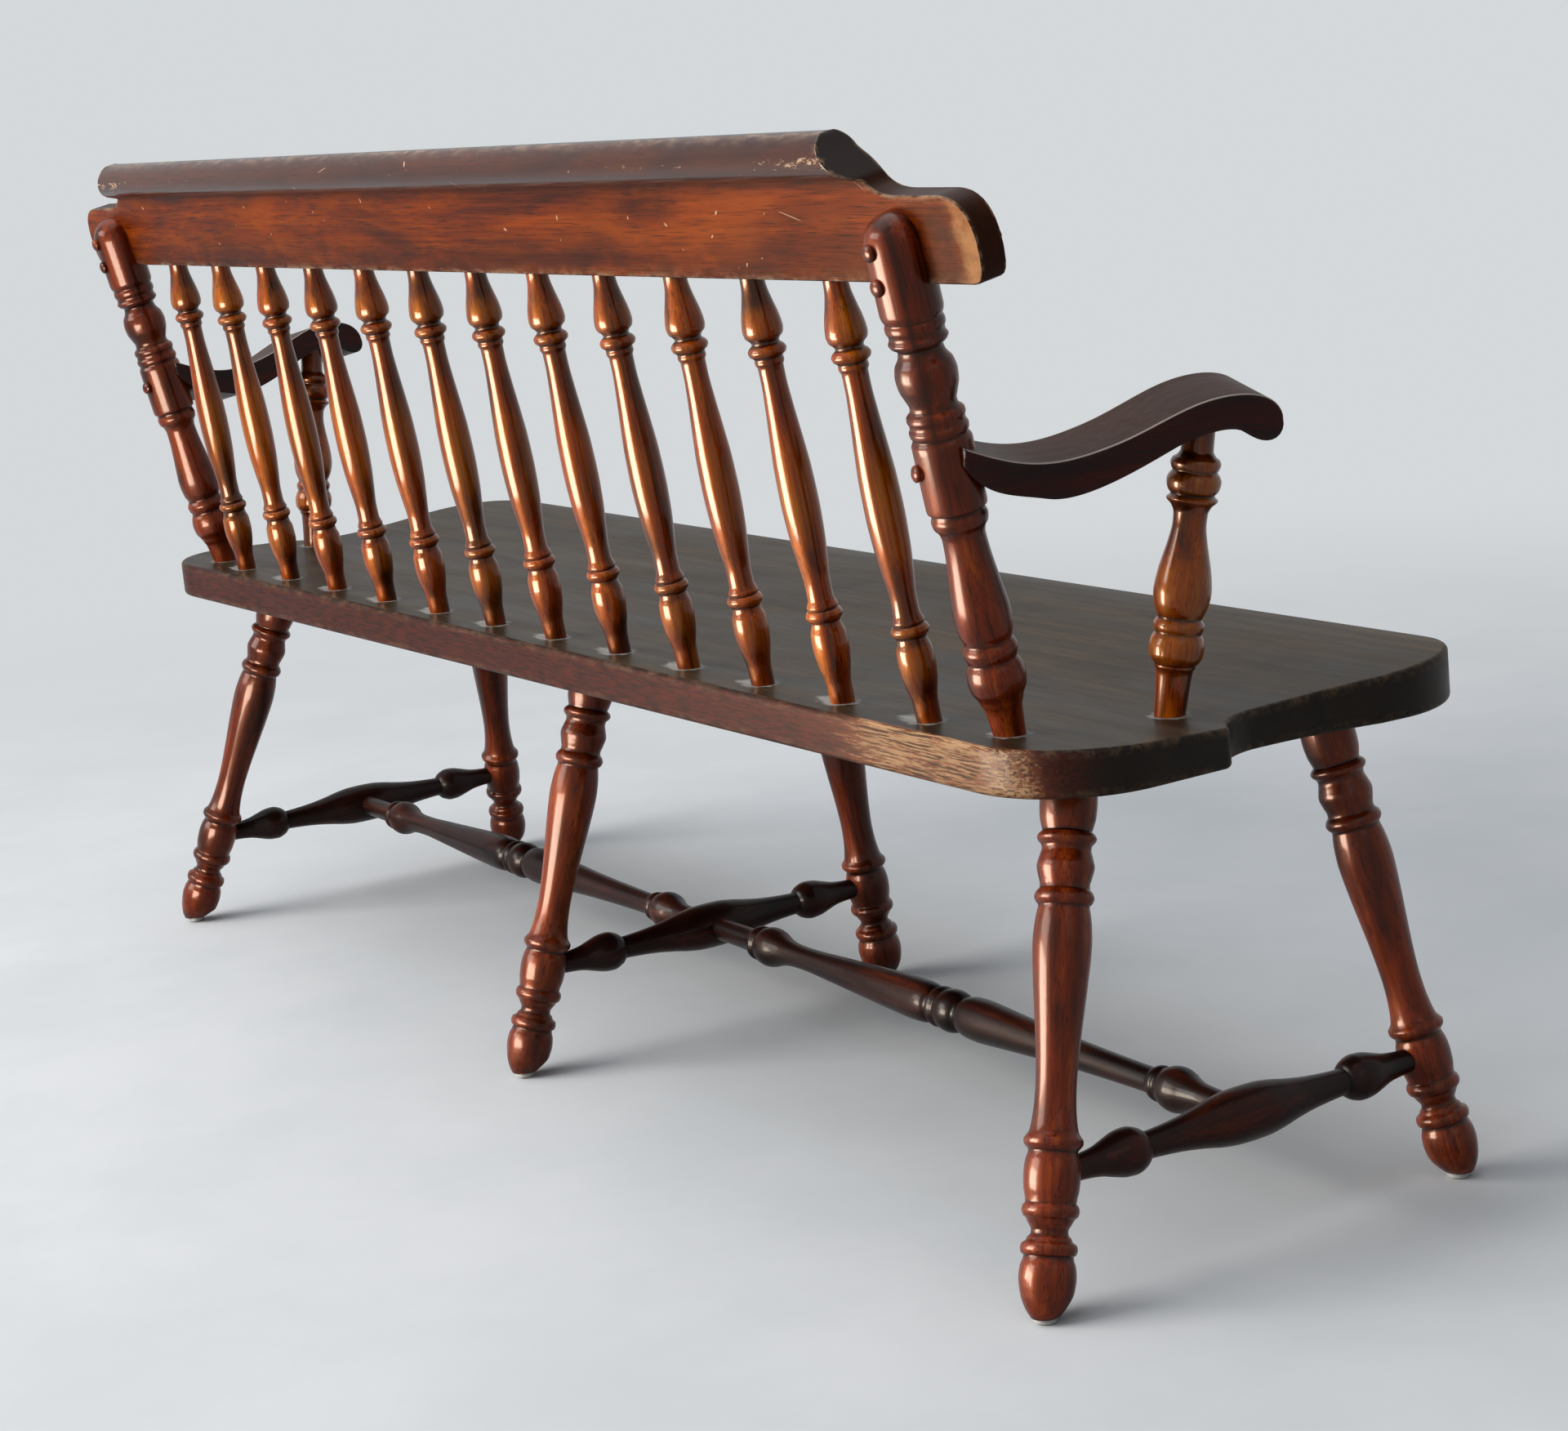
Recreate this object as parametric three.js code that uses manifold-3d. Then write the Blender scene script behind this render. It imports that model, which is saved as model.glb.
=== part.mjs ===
// Deacons bench: a scooped plank seat on six splayed turned legs, with a spindle back,
// a rolled crest rail screwed to two back posts, and two serpentine arms.
// Millimetres, +Z up. The sitter faces -Y, so "left" is the +X end.
// The bench is drawn with the seat's back edge at y = 0, and the last lines of this file
// move it over the middle of its footprint.

import * as THREE from 'three';
import { mergeVertices } from 'three/addons/utils/BufferGeometryUtils.js';
import Module from 'manifold-3d';

const wasm = await Module();
wasm.setup();

// Driving dimensions

const gap = 0.3;                    // between pieces that touch on the real bench

const seatHeight = 447;             // floor to the seat's top at its back edge
const seatThickness = 39;
const seatLength = 1806;
const seatDepth = 474;
const seatSocketDepth = 25;         // of the round sockets in its top

const legDiameter = 48;             // widest ring
const legInset = 123;               // seat's end to the end legs' axes
const legSplay = 92;                // outward run of the end legs, seat to floor
const backLegInset = 109;           // seat's back edge to the back legs' axes
const backLegRake = 133;            // backward run, seat to floor
const frontLegInset = 104;          // seat's front edge to the front legs' axes
const frontLegRake = 45;            // forward run, seat to floor
const legTenonDiameter = 27;
const legTenonDepth = 26;

const glideDiameter = 19.6;
const glideHeight = 6;
const glideNailDiameter = 2.5;
const glideNailLength = 13;

const stretcherHeight = 105;
const crossStretcherDiameter = 46;
const longStretcherDiameter = 41.5;
const stretcherTenonDepth = 17;

const postDiameter = 48.6;          // ball above the arm
const postHeight = 415;             // above the seat
const postInset = 111;              // seat's end to the post's axis
const postFlare = 16;               // outward run, seat to top
const postFromBack = 44;            // seat's back edge to the post's axis
const postRake = 82;                // backward run, seat to top

const crestHeight = 121;            // up the leaning board
const crestThickness = 23;
const crestRollDiameter = 39;
const crestLap = 57;                // post's top down to the crest's bottom edge
const crestOverhang = 97;           // post's axis to the crest's end
const crestSeatOnPost = 5;          // post's axis to the crest's back face

const spindleCount = 12;
const spindleDiameter = 34;         // the teardrop below the crest
const spindleFromBack = 32.5;       // seat's back edge to the spindles' axes
const postToSpindleAtSeat = 93.5;   // between the axes
const postToSpindleAtCrest = 122;
const spindleTenonDiameter = 13;
const spindleTenonDepth = 24;

const armAboveSeat = 215;           // seat to the screw that holds the arm to the post
const armWidth = 53;                // at the post's axis
const armHandWidth = 70;            // at the nose
const armReach = 268;               // post's axis to the tip of the nose
const armSplayAngle = 12.4;         // degrees outward from straight ahead
const armRollAngle = 10.7;          // degrees, outer edge lower
const armSupportDiameter = 46;      // widest part of the vase
const armSupportInset = 75.8;       // seat's end to the support's axis
const armSupportFromBack = 175;     // seat's back edge to the support's axis
const armSupportReach = 213;        // post's axis to the support, along the arm
const armSupportTenonDiameter = 16;
const armSupportTenonDepth = 20;

const screwDiameter = 4.5;
const screwHeadDiameter = 8;
const screwHeadHeight = 3.2;
const screwGrip = 14;               // inside the crest or the arm
const capDiameter = 13.6;
const capDome = 4.2;
const capPlugDiameter = 9.5;
const capPlugDepth = 5;

// Flats round the thick, thin and small turnings
const thickSides = 12;
const thinSides = 10;
const spindleSides = 8;
const smallSides = 8;

// Turned outlines: rows of [share of the length, share of the widest radius], foot first

// The post's straight stretches, which carry the arm and the crest
const armBlockShare = 0.985;
const barrelShare = 1.025;

const legShares = [
  [0, 0.56], [0.035, 0.88], [0.065, 0.95], [0.1, 0.84],
  [0.108, 0.94], [0.125, 0.93], [0.149, 0.61], [0.175, 0.93], [0.193, 0.92], [0.2, 0.84],
  [0.25, 0.94], [0.29, 0.81], [0.305, 0.98], [0.328, 0.81],
  [0.41, 0.675], [0.52, 0.78], [0.669, 0.98], [0.733, 0.86],
  [0.75, 1], [0.77, 0.83], [0.808, 0.96], [0.842, 0.825],
  [0.858, 0.99], [0.876, 0.84], [0.925, 0.965], [1, 0.83],
];

const postShares = [
  [0, 0.54], [0.06, 0.65], [0.1, 0.94], [0.125, 0.95], [0.152, 0.79], [0.168, 0.9], [0.186, 0.78],
  [0.24, 0.94], [0.32, 0.79], [0.385, 0.705], [0.41, 0.8], [0.427, 0.92], [0.44, 0.88],
  [0.45, armBlockShare], [0.574, armBlockShare],
  [0.585, 0.89], [0.6, 0.955], [0.622, 0.945], [0.643, 0.76],
  [0.68, 0.965], [0.705, 1], [0.746, 0.725],
  [0.764, 0.96], [0.792, 0.965], [0.804, 0.91],
  [0.82, barrelShare], [0.945, barrelShare], [0.972, 0.92], [0.99, 0.6], [1, 0],
];

const spindleShares = [
  [0, 0.61], [0.055, 0.65], [0.1, 0.84], [0.138, 0.92], [0.19, 0.74], [0.207, 0.94],
  [0.227, 0.77], [0.262, 0.645], [0.36, 0.79], [0.47, 0.95], [0.6, 0.86], [0.765, 0.62],
  [0.805, 0.72], [0.827, 0.95], [0.847, 0.68], [0.872, 1], [0.92, 0.88], [1, 0.59],
];

const armSupportShares = [
  [0, 0.54], [0.165, 0.68], [0.222, 0.945], [0.255, 0.945], [0.294, 0.8],
  [0.32, 0.88], [0.345, 0.76], [0.395, 0.95], [0.44, 1], [0.5, 0.935],
  [0.61, 0.69], [0.69, 0.585], [0.735, 0.7], [0.76, 0.89], [0.776, 0.76],
  [0.805, 0.93], [0.835, 0.93], [0.858, 0.78], [0.884, 0.87], [0.918, 0.61], [1, 0.55],
];

// Half of each stretcher, from its middle to its end. The ends are straight, to fit their sockets.
const crossHalfShares = [
  [0, 1], [0.14, 0.95], [0.3, 0.77], [0.45, 0.56], [0.6, 0.44],
  [0.62, 0.68], [0.66, 0.85], [0.71, 0.85], [0.79, 0.63], [0.86, 0.47], [0.89, 0.44], [1, 0.44],
];
const longHalfShares = [
  [0, 0.8], [0.017, 0.98], [0.037, 0.7], [0.055, 0.86], [0.11, 0.98],
  [0.26, 0.83], [0.45, 0.67], [0.752, 0.53], [0.765, 0.61], [0.777, 0.58],
  [0.8, 0.95], [0.85, 0.78], [0.91, 0.57], [0.95, 0.55], [1, 0.55],
];

// A screw's domed cap: [share of the dome's height, share of its radius]
const capShares = [[0, 0.93], [0.3, 1], [0.65, 0.75], [0.95, 0.3], [1, 0]];

// Sawn outlines: a start, then a line's end, or a curve's control points and end

// How far the scooped seat's top lies above (+) or below (-) its back edge, from back to front,
// as [share of the depth, share of the thickness]
const scoopShares = [
  [0, -0.06], [0.012, 0], [0.12, -0.03], [0.25, -0.11], [0.38, -0.165], [0.49, -0.155],
  [0.62, -0.085], [0.74, 0.005], [0.85, 0.09], [0.93, 0.125], [0.975, 0.08], [0.993, -0.04], [1, -0.16],
];

// End of the crest: in from its tip and up from its bottom edge, as shares of its height
const crestEndShares = [
  [0.19, 0], [0.05, 0, 0, 0.12, 0, 0.285], [0, 0.44, 0.1, 0.547, 0.3, 0.556],
  [0.75, 0.56], [0.98, 0.565, 1.06, 0.66], [1.24, 1, 1.5, 1],
];

// Side view of the arm: out from the post's axis and up from the arm's screw, as shares of the reach
const armShares = [
  [0.006, 0.088], [0.183, 0.01, 0.274, -0.009, 0.471, 0.043], [0.602, 0.078, 0.695, 0.141, 0.825, 0.145],
  [0.932, 0.148, 0.992, 0.113, 1, 0.052], [1.008, -0.004, 0.956, -0.035, 0.879, 0.026],
  [0.832, 0.062, 0.708, 0.029, 0.656, 0.006], [0.548, -0.041, 0.369, -0.123, 0.26, -0.094],
  [0.151, -0.066, 0.076, -0.07, 0.006, 0.035],
];

// Geometry helpers

const up = new THREE.Vector3(0, 0, 1);
const radians = THREE.MathUtils.degToRad;
const at = (x, y, z) => new THREE.Vector3(x, y, z);
const lerp = (a, b, share) => a.clone().lerp(b, share);
const reach = (point, direction, distance) => point.clone().addScaledVector(direction, distance);
const directionTo = (from, to) => to.clone().sub(from).normalize();

// The point of a line at a given height
const atHeight = (foot, head, height) => lerp(foot, head, (height - foot.z) / (head.z - foot.z));

// A closed three.js geometry as a manifold solid, moved by a matrix
function solid(geometry, matrix) {
  let shape = geometry.clone();
  if (matrix) shape.applyMatrix4(matrix);
  for (const name of Object.keys(shape.attributes)) if (name !== 'position') shape.deleteAttribute(name);
  shape = mergeVertices(shape, gap / 1000);
  const corners = shape.index.array;
  const kept = [];
  for (let i = 0; i < corners.length; i += 3) {
    const [a, b, c] = [corners[i], corners[i + 1], corners[i + 2]];
    if (a !== b && b !== c && c !== a) kept.push(a, b, c);
  }
  const mesh = new wasm.Mesh({
    numProp: 3,
    vertProperties: new Float32Array(shape.attributes.position.array),
    triVerts: new Uint32Array(kept),
  });
  mesh.merge();
  return new wasm.Manifold(mesh);
}

// A manifold solid as a three.js geometry
function toGeometry(body) {
  const mesh = body.getMesh();
  const geometry = new THREE.BufferGeometry();
  geometry.setAttribute('position', new THREE.BufferAttribute(new Float32Array(mesh.vertProperties), 3));
  geometry.setIndex(new THREE.BufferAttribute(new Uint32Array(mesh.triVerts), 1));
  const faceted = geometry.toNonIndexed();
  faceted.computeVertexNormals();
  return faceted;
}

// Matrix that stands a shape drawn along +Z at a point, along a direction
function standing(point, direction) {
  const turn = new THREE.Quaternion().setFromUnitVectors(up, direction.clone().normalize());
  return new THREE.Matrix4().compose(point, turn, at(1, 1, 1));
}

// A lathe body from rows of [height, radius], closed on the axis at both ends, standing on +Z
function lathe(rows, sides) {
  const points = rows.map(([height, radius]) => new THREE.Vector2(radius, height));
  const [foot, head] = [points[0], points.at(-1)];
  if (foot.x > 0) points.unshift(new THREE.Vector2(0, foot.y));
  if (head.x > 0) points.push(new THREE.Vector2(0, head.y));
  return new THREE.LatheGeometry(points, sides).rotateX(Math.PI / 2);
}

const scaled = (shares, length, diameter) => shares.map(([s, r]) => [s * length, r * diameter / 2]);
const mirrored = (halfShares) => [
  ...halfShares.slice(1).reverse().map(([s, r]) => [(1 - s) / 2, r]),
  ...halfShares.map(([s, r]) => [(1 + s) / 2, r]),
];

// Rows that start sooner and end later, at their end radii
const runOn = (rows, before, after) => [
  [rows[0][0] - before, rows[0][1]], ...rows, [rows.at(-1)[0] + after, rows.at(-1)[1]],
];

// A plain round bar between two points. Its flats line up with any turning that stands along the axis.
function bar(from, to, diameter, sides, axis = directionTo(from, to)) {
  const start = directionTo(from, to).dot(axis) > 0 ? from : to;
  const rows = [[0, diameter / 2], [from.distanceTo(to), diameter / 2]];
  return solid(lathe(rows, sides), standing(start, axis));
}

// The clearance hole for a round bar
const hole = (from, to, diameter, sides, axis) => bar(from, to, diameter + 2 * gap, sides, axis);

// A big block whose bottom face lies at a point and faces against a direction
const blockSize = 3 * seatLength;
function beyond(point, direction) {
  const block = new THREE.BoxGeometry(blockSize, blockSize, blockSize).translate(0, 0, blockSize / 2);
  return solid(block, standing(point, direction));
}

// Draws rows of points on a path, each point put in place by a function
function trace(path, rows, place) {
  const [start, ...moves] = rows;
  path.moveTo(...place(...start));
  for (const move of moves) {
    const points = [];
    for (let i = 0; i < move.length; i += 2) points.push(...place(move[i], move[i + 1]));
    if (points.length === 2) path.lineTo(...points);
    if (points.length === 4) path.quadraticCurveTo(...points);
    if (points.length === 6) path.bezierCurveTo(...points);
  }
  return path;
}

// A closed outline from its right-hand half
function bothSides(half, divisions) {
  const points = half.getPoints(divisions);
  const mirror = points.map((p) => new THREE.Vector2(-p.x, p.y)).reverse();
  return new THREE.Shape([...points, ...mirror]);
}

// A section drawn as (y, z) and carried along x, past both ends of the bench
function alongBench(section, curveSegments) {
  return new THREE.ExtrudeGeometry(section, { depth: 2 * seatLength, bevelEnabled: false, curveSegments })
    .applyMatrix4(new THREE.Matrix4().makeBasis(at(0, 1, 0), at(0, 0, 1), at(1, 0, 0)))
    .translate(-seatLength, 0, 0);
}

// Lines that the turnings stand on, each from its foot to its head

const seatUnderside = seatHeight - seatThickness;

function legLine(side, isBack) {
  const headX = side * (seatLength / 2 - legInset);
  const footX = headX + side * legSplay;
  const headY = isBack ? -backLegInset : frontLegInset - seatDepth;
  const footY = headY + (isBack ? backLegRake : -frontLegRake);
  return [at(footX, footY, 0), at(headX, headY, seatUnderside)];
}

function postLine(side) {
  const footX = seatLength / 2 - postInset;
  return [
    at(side * footX, -postFromBack, seatHeight),
    at(side * (footX + postFlare), postRake - postFromBack, seatHeight + postHeight),
  ];
}

// The crest's frame: x along the bench, y backwards out of the board and z up it,
// from the crest's bottom edge in the plane of the post's axes
const lean = Math.atan2(postRake, postHeight);
const upBoard = at(0, Math.sin(lean), Math.cos(lean));
const behindBoard = at(0, Math.cos(lean), -Math.sin(lean));
const postAtCrest = atHeight(...postLine(1), seatHeight + postHeight - crestLap);
const crestFrame = new THREE.Matrix4()
  .makeBasis(at(1, 0, 0), behindBoard, upBoard)
  .setPosition(0, postAtCrest.y, postAtCrest.z);
const onCrest = (x, y, z) => at(x, y, z).applyMatrix4(crestFrame);
const crestBack = -crestSeatOnPost;
const crestFront = crestBack - crestThickness;

function spindleLine(index) {
  const place = 2 * index / (spindleCount - 1) - 1;
  return [
    at(place * (seatLength / 2 - postInset - postToSpindleAtSeat), -spindleFromBack, seatHeight),
    onCrest(place * (postAtCrest.x - postToSpindleAtCrest), (crestBack + crestFront) / 2, 0),
  ];
}

// Pieces and their finishes

const pieces = [];
const finishes = {
  redBrown: { color: 0x3a160c, roughness: 0.38 },
  blackBrown: { color: 0x24110c, roughness: 0.4 },
  amber: { color: 0x5a240e, roughness: 0.33 },
  seatBrown: { color: 0x2a211d, roughness: 0.42 },
  whitePlastic: { color: 0xe4e2da, roughness: 0.5 },
  steel: { color: 0x8f8a82, roughness: 0.35, metalness: 0.9 },
};

function add(name, body, finish) {
  const material = new THREE.MeshStandardMaterial({ metalness: 0, ...finishes[finish] });
  material.name = `${name}_finish`;
  const mesh = new THREE.Mesh(body.isBufferGeometry ? body : toGeometry(body), material);
  mesh.name = name;
  pieces.push(mesh);
}

const cutBy = (body, cutters) => cutters.reduce((rest, cutter) => rest.subtract(cutter), body);

// What is cut out of the seat and the crest, gathered as the pieces that stand in them are made
const seatCuts = [];
const crestCuts = [];

// A round socket in the seat's top for a turning that stands at a point
function socketInSeat(foot, axis, diameter, sides) {
  const mouth = reach(foot, axis, seatThickness / 2);
  seatCuts.push(hole(reach(foot, axis, -seatSocketDepth), mouth, diameter, sides));
}

// Legs and their glides

const crossEndDiameter = crossHalfShares.at(-1)[1] * crossStretcherDiameter;
const longEndDiameter = longHalfShares.at(-1)[1] * longStretcherDiameter;

function makeLeg(side, isBack) {
  const [foot, head] = legLine(side, isBack);
  const axis = directionTo(foot, head);
  const sole = atHeight(foot, head, glideHeight);
  const shoulder = atHeight(foot, head, seatUnderside - gap);
  const tenonTop = reach(head, axis, legTenonDepth);
  const overrun = legDiameter / 4;

  // The turning runs on past both ends, and level cuts fit it to the glide and the seat
  const rows = runOn(scaled(legShares, sole.distanceTo(head), legDiameter), overrun, overrun);
  const turning = solid(lathe(rows, thickSides), standing(sole, axis));
  const trimmed = cutBy(turning, [beyond(sole, at(0, 0, -1)), beyond(shoulder, up)]);
  const tenon = bar(reach(shoulder, axis, -overrun), tenonTop, legTenonDiameter, thickSides);
  const mortise = [reach(head, axis, -legDiameter), reach(tenonTop, axis, gap)];
  seatCuts.push(hole(...mortise, legTenonDiameter, thickSides));

  // Blind socket for the cross stretcher, which runs from the back leg to the front one
  const hub = atHeight(foot, head, stretcherHeight);
  const inward = directionTo(hub, atHeight(...legLine(side, !isBack), stretcherHeight));
  const backToFront = isBack ? inward : inward.clone().negate();
  const socketFloor = reach(hub, inward, legDiameter / 2 - stretcherTenonDepth);
  const socket = hole(socketFloor, reach(hub, inward, legDiameter), crossEndDiameter, thinSides, backToFront);
  const nailTip = reach(sole, up, glideNailLength);
  const nailHole = hole(sole.clone().setZ(0), reach(nailTip, up, gap), glideNailDiameter, smallSides);
  return cutBy(trimmed.add(tenon), [socket, nailHole]);
}

function makeGlide(side, isBack) {
  const sole = atHeight(...legLine(side, isBack), glideHeight);
  const rimShare = 0.8;
  const [rim, nail] = [glideDiameter / 2, glideNailDiameter / 2];
  const disc = glideHeight - gap;
  const tip = glideHeight + glideNailLength;
  const rows = [[0, rimShare * rim], [disc / 4, rim], [disc, rim], [disc, nail], [tip, nail]];
  return lathe(rows, smallSides).translate(sole.x, sole.y, 0);
}

const bays = [['left', 1], ['middle', 0], ['right', -1]];
for (const [bay, side] of bays) {
  for (const row of ['back', 'front']) {
    const isBack = row === 'back';
    add(`${row}_leg_${bay}`, makeLeg(side, isBack), 'redBrown');
    add(`${row}_glide_${bay}`, makeGlide(side, isBack), 'whitePlastic');
  }
}

// Stretchers

const longSocketShare = 0.14;
const longSocketFloor = longSocketShare * crossStretcherDiameter;

function crossLine(side) {
  const back = atHeight(...legLine(side, true), stretcherHeight);
  const front = atHeight(...legLine(side, false), stretcherHeight);
  const inset = legDiameter / 2 - stretcherTenonDepth + gap;
  const aim = directionTo(back, front);
  return [reach(back, aim, inset), reach(front, aim, -inset)];
}

function makeCrossStretcher(side) {
  const [back, front] = crossLine(side);
  const rows = scaled(mirrored(crossHalfShares), back.distanceTo(front), crossStretcherDiameter);
  const middle = lerp(back, front, 0.5);
  const sockets = (side === 0 ? [1, -1] : [-side]).map((toward) => {
    const aim = at(toward, 0, 0);
    const ends = [reach(middle, aim, longSocketFloor), reach(middle, aim, crossStretcherDiameter)];
    return hole(...ends, longEndDiameter, thinSides, at(side || toward, 0, 0));
  });
  return cutBy(solid(lathe(rows, thinSides), standing(back, directionTo(back, front))), sockets);
}

function makeLongStretcher(side) {
  const outward = at(side, 0, 0);
  const start = reach(lerp(...crossLine(0), 0.5), outward, longSocketFloor + gap);
  const end = reach(lerp(...crossLine(side), 0.5), outward, -longSocketFloor - gap);
  const rows = scaled(mirrored(longHalfShares), start.distanceTo(end), longStretcherDiameter);
  return solid(lathe(rows, thinSides), standing(start, outward));
}

for (const [bay, side] of bays) {
  add(`cross_stretcher_${bay}`, makeCrossStretcher(side), 'blackBrown');
  if (side) add(`long_stretcher_${bay}`, makeLongStretcher(side), 'blackBrown');
}

// Spindles

function makeSpindle(index) {
  const [foot, head] = spindleLine(index);
  const axis = directionTo(foot, head);
  const rows = runOn(scaled(spindleShares, foot.distanceTo(head), spindleDiameter),
    seatSocketDepth - gap, spindleDiameter / 2);
  const turning = solid(lathe(rows, spindleSides), standing(foot, axis));
  const trimmed = turning.subtract(beyond(onCrest(0, 0, -gap), upBoard));
  const tenonTop = reach(head, axis, spindleTenonDepth);
  const tenonRoot = reach(head, axis, -spindleDiameter / 2);
  socketInSeat(foot, axis, spindleShares[0][1] * spindleDiameter, spindleSides);
  crestCuts.push(hole(tenonRoot, reach(tenonTop, axis, gap), spindleTenonDiameter, spindleSides));
  return trimmed.add(bar(tenonRoot, tenonTop, spindleTenonDiameter, spindleSides));
}

for (let i = 0; i < spindleCount; i += 1) {
  add(`spindle_${String(i + 1).padStart(2, '0')}`, makeSpindle(i), 'amber');
}

// Screws and their domed caps

// Adds a screw and its cap, and returns the holes for them. The screw's line starts on a post's surface
// and runs along a direction, through the post and into the piece that it holds.
function fasten(name, surface, direction, throughPost) {
  const headTop = capPlugDepth + gap;
  const bearing = headTop + screwHeadHeight + gap;
  const tip = throughPost + screwGrip;
  const [plug, head, shank] = [capPlugDiameter / 2, screwHeadDiameter / 2, screwDiameter / 2];

  const dome = scaled(capShares, capDome, capDiameter).map(([height, radius]) => [height + gap, radius]);
  const cap = lathe([[-capPlugDepth, plug], [gap, plug], ...dome], smallSides);
  const outward = direction.clone().negate();
  add(`${name}_cap`, cap.applyMatrix4(standing(surface, outward)), 'blackBrown');

  const neck = headTop + screwHeadHeight;
  const screw = lathe([[headTop, head], [neck, head], [neck, shank], [tip - screwDiameter, shank],
    [tip, shank / 4]], smallSides);
  add(name, screw.applyMatrix4(standing(surface, direction)), 'steel');

  const step = (depth) => reach(surface, direction, depth);
  const shankHole = hole(surface, step(tip + gap), screwDiameter, smallSides);
  const capHole = hole(step(-capDiameter), step(bearing), capPlugDiameter, smallSides, outward);
  return [capHole.add(shankHole), shankHole];
}

// Back posts

function makePost(side, end) {
  const [foot, head] = postLine(side);
  const axis = directionTo(foot, head);
  const rows = scaled(postShares, foot.distanceTo(head), postDiameter);
  const dowelRow = [gap - seatSocketDepth, rows[0][1]];
  socketInSeat(foot, axis, 2 * rows[0][1], thickSides);

  // Flat on the front of the barrel, for the crest's back face
  const notch = new THREE.BoxGeometry(4 * postDiameter, postDiameter, 3 * crestHeight)
    .translate(head.x, crestBack + gap - postDiameter / 2, 3 * crestHeight / 2 - gap);
  const turning = solid(lathe([dowelRow, ...rows], thickSides), standing(foot, axis));
  let post = turning.subtract(solid(notch, crestFrame));

  // Two screws through the post into the crest, at shares of the crest's lap on the post
  const crestScrewShares = [0.58, 0.105];
  const barrel = barrelShare * postDiameter / 2;
  crestScrewShares.forEach((share, i) => {
    const x = lerp(side > 0 ? postAtCrest : postAtCrest.clone().setX(-postAtCrest.x), head, share).x;
    const [bore, pilot] = fasten(`crest_screw_${['upper', 'lower'][i]}_${end}`,
      onCrest(x, barrel, share * crestLap), behindBoard.clone().negate(), barrel + crestSeatOnPost);
    post = post.subtract(bore);
    crestCuts.push(pilot);
  });
  return post;
}

// Arms and their supports

// The arm's frame: x out from the post's axis along the arm, y up and z across it, rolled so that
// its outer edge is lower
function armFrame(side) {
  const [splay, roll] = [radians(armSplayAngle), radians(armRollAngle)];
  const hub = atHeight(...postLine(side), seatHeight + armAboveSeat);
  const forward = at(side * Math.sin(splay), -Math.cos(splay), 0);
  const outward = at(side * Math.cos(splay), Math.sin(splay), 0);
  const upArm = up.clone().multiplyScalar(Math.cos(roll)).addScaledVector(outward, Math.sin(roll));
  const across = forward.clone().cross(upArm);
  return { hub, forward, matrix: new THREE.Matrix4().makeBasis(forward, upArm, across).setPosition(hub) };
}

function makeArm(side, end, post) {
  const { hub, forward, matrix } = armFrame(side);
  const [foot, head] = postLine(side);
  const outline = trace(new THREE.Shape(), armShares, (x, y) => [x * armReach, y * armReach]);
  const eased = armWidth / 18;
  const board = new THREE.ExtrudeGeometry(outline, {
    depth: armWidth - 2 * eased, bevelThickness: eased, bevelSize: eased, bevelOffset: -eased,
    bevelSegments: 1, curveSegments: 6,
  }).translate(0, 0, eased - armWidth / 2);

  // The arm widens evenly from the post to the hand
  const corners = board.getAttribute('position');
  for (let i = 0; i < corners.count; i += 1) {
    const width = armWidth + (armHandWidth - armWidth) * corners.getX(i) / armReach;
    corners.setZ(i, corners.getZ(i) * width / armWidth);
  }

  // Hollow end that fits round the post's block
  const blockDiameter = armBlockShare * postDiameter;
  const axis = directionTo(foot, head);
  const wrap = hole(reach(hub, axis, -armWidth), reach(hub, axis, armWidth), blockDiameter, thickSides);

  // The level screw meets the leaning post at a slant, so its cap stands clear by its own rise on that slant
  const slant = Math.asin(Math.abs(forward.dot(axis)));
  const standOff = blockDiameter / 2 / Math.cos(slant) + Math.tan(slant) * capDiameter / 2;
  const [bore, pilot] = fasten(`arm_screw_${end}`, reach(hub, forward, -standOff), forward,
    standOff + blockDiameter / 2);
  return { arm: cutBy(solid(board, matrix), [wrap, pilot]), post: post.subtract(bore) };
}

function makeArmSupport(side, arm) {
  const { hub, forward } = armFrame(side);
  const underArmShare = 0.012;
  const footX = side * (seatLength / 2 - armSupportInset);
  const foot = at(footX, -armSupportFromBack, seatTopAt(-armSupportFromBack));
  const head = reach(reach(hub, forward, armSupportReach), up, underArmShare * armReach);
  const axis = directionTo(foot, head);
  const rows = scaled(armSupportShares, foot.distanceTo(head), armSupportDiameter);
  const neck = rows.at(-1)[1];
  socketInSeat(foot, axis, 2 * rows[0][1], thinSides);

  // The neck runs up into the arm and is cut to its underside
  const turning = solid(lathe(runOn(rows, seatSocketDepth - gap, neck), thinSides), standing(foot, axis));
  const parts = turning.subtract(arm.translate([0, 0, -gap])).decompose();
  const [below] = parts.sort((a, b) => b.volume() - a.volume());
  const tenonTop = reach(head, axis, armSupportTenonDepth);
  const tenonRoot = reach(head, axis, -neck);
  return {
    support: below.add(bar(tenonRoot, tenonTop, armSupportTenonDiameter, thinSides)),
    arm: arm.subtract(hole(tenonRoot, reach(tenonTop, axis, gap), armSupportTenonDiameter, thinSides)),
  };
}

for (const [end, side] of [['left', 1], ['right', -1]]) {
  const fitted = makeArm(side, end, makePost(side, end));
  const { support, arm } = makeArmSupport(side, fitted.arm);
  add(`back_post_${end}`, fitted.post, 'redBrown');
  add(`arm_${end}`, arm, 'redBrown');
  add(`arm_support_${end}`, support, 'amber');
}

// Seat

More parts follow.
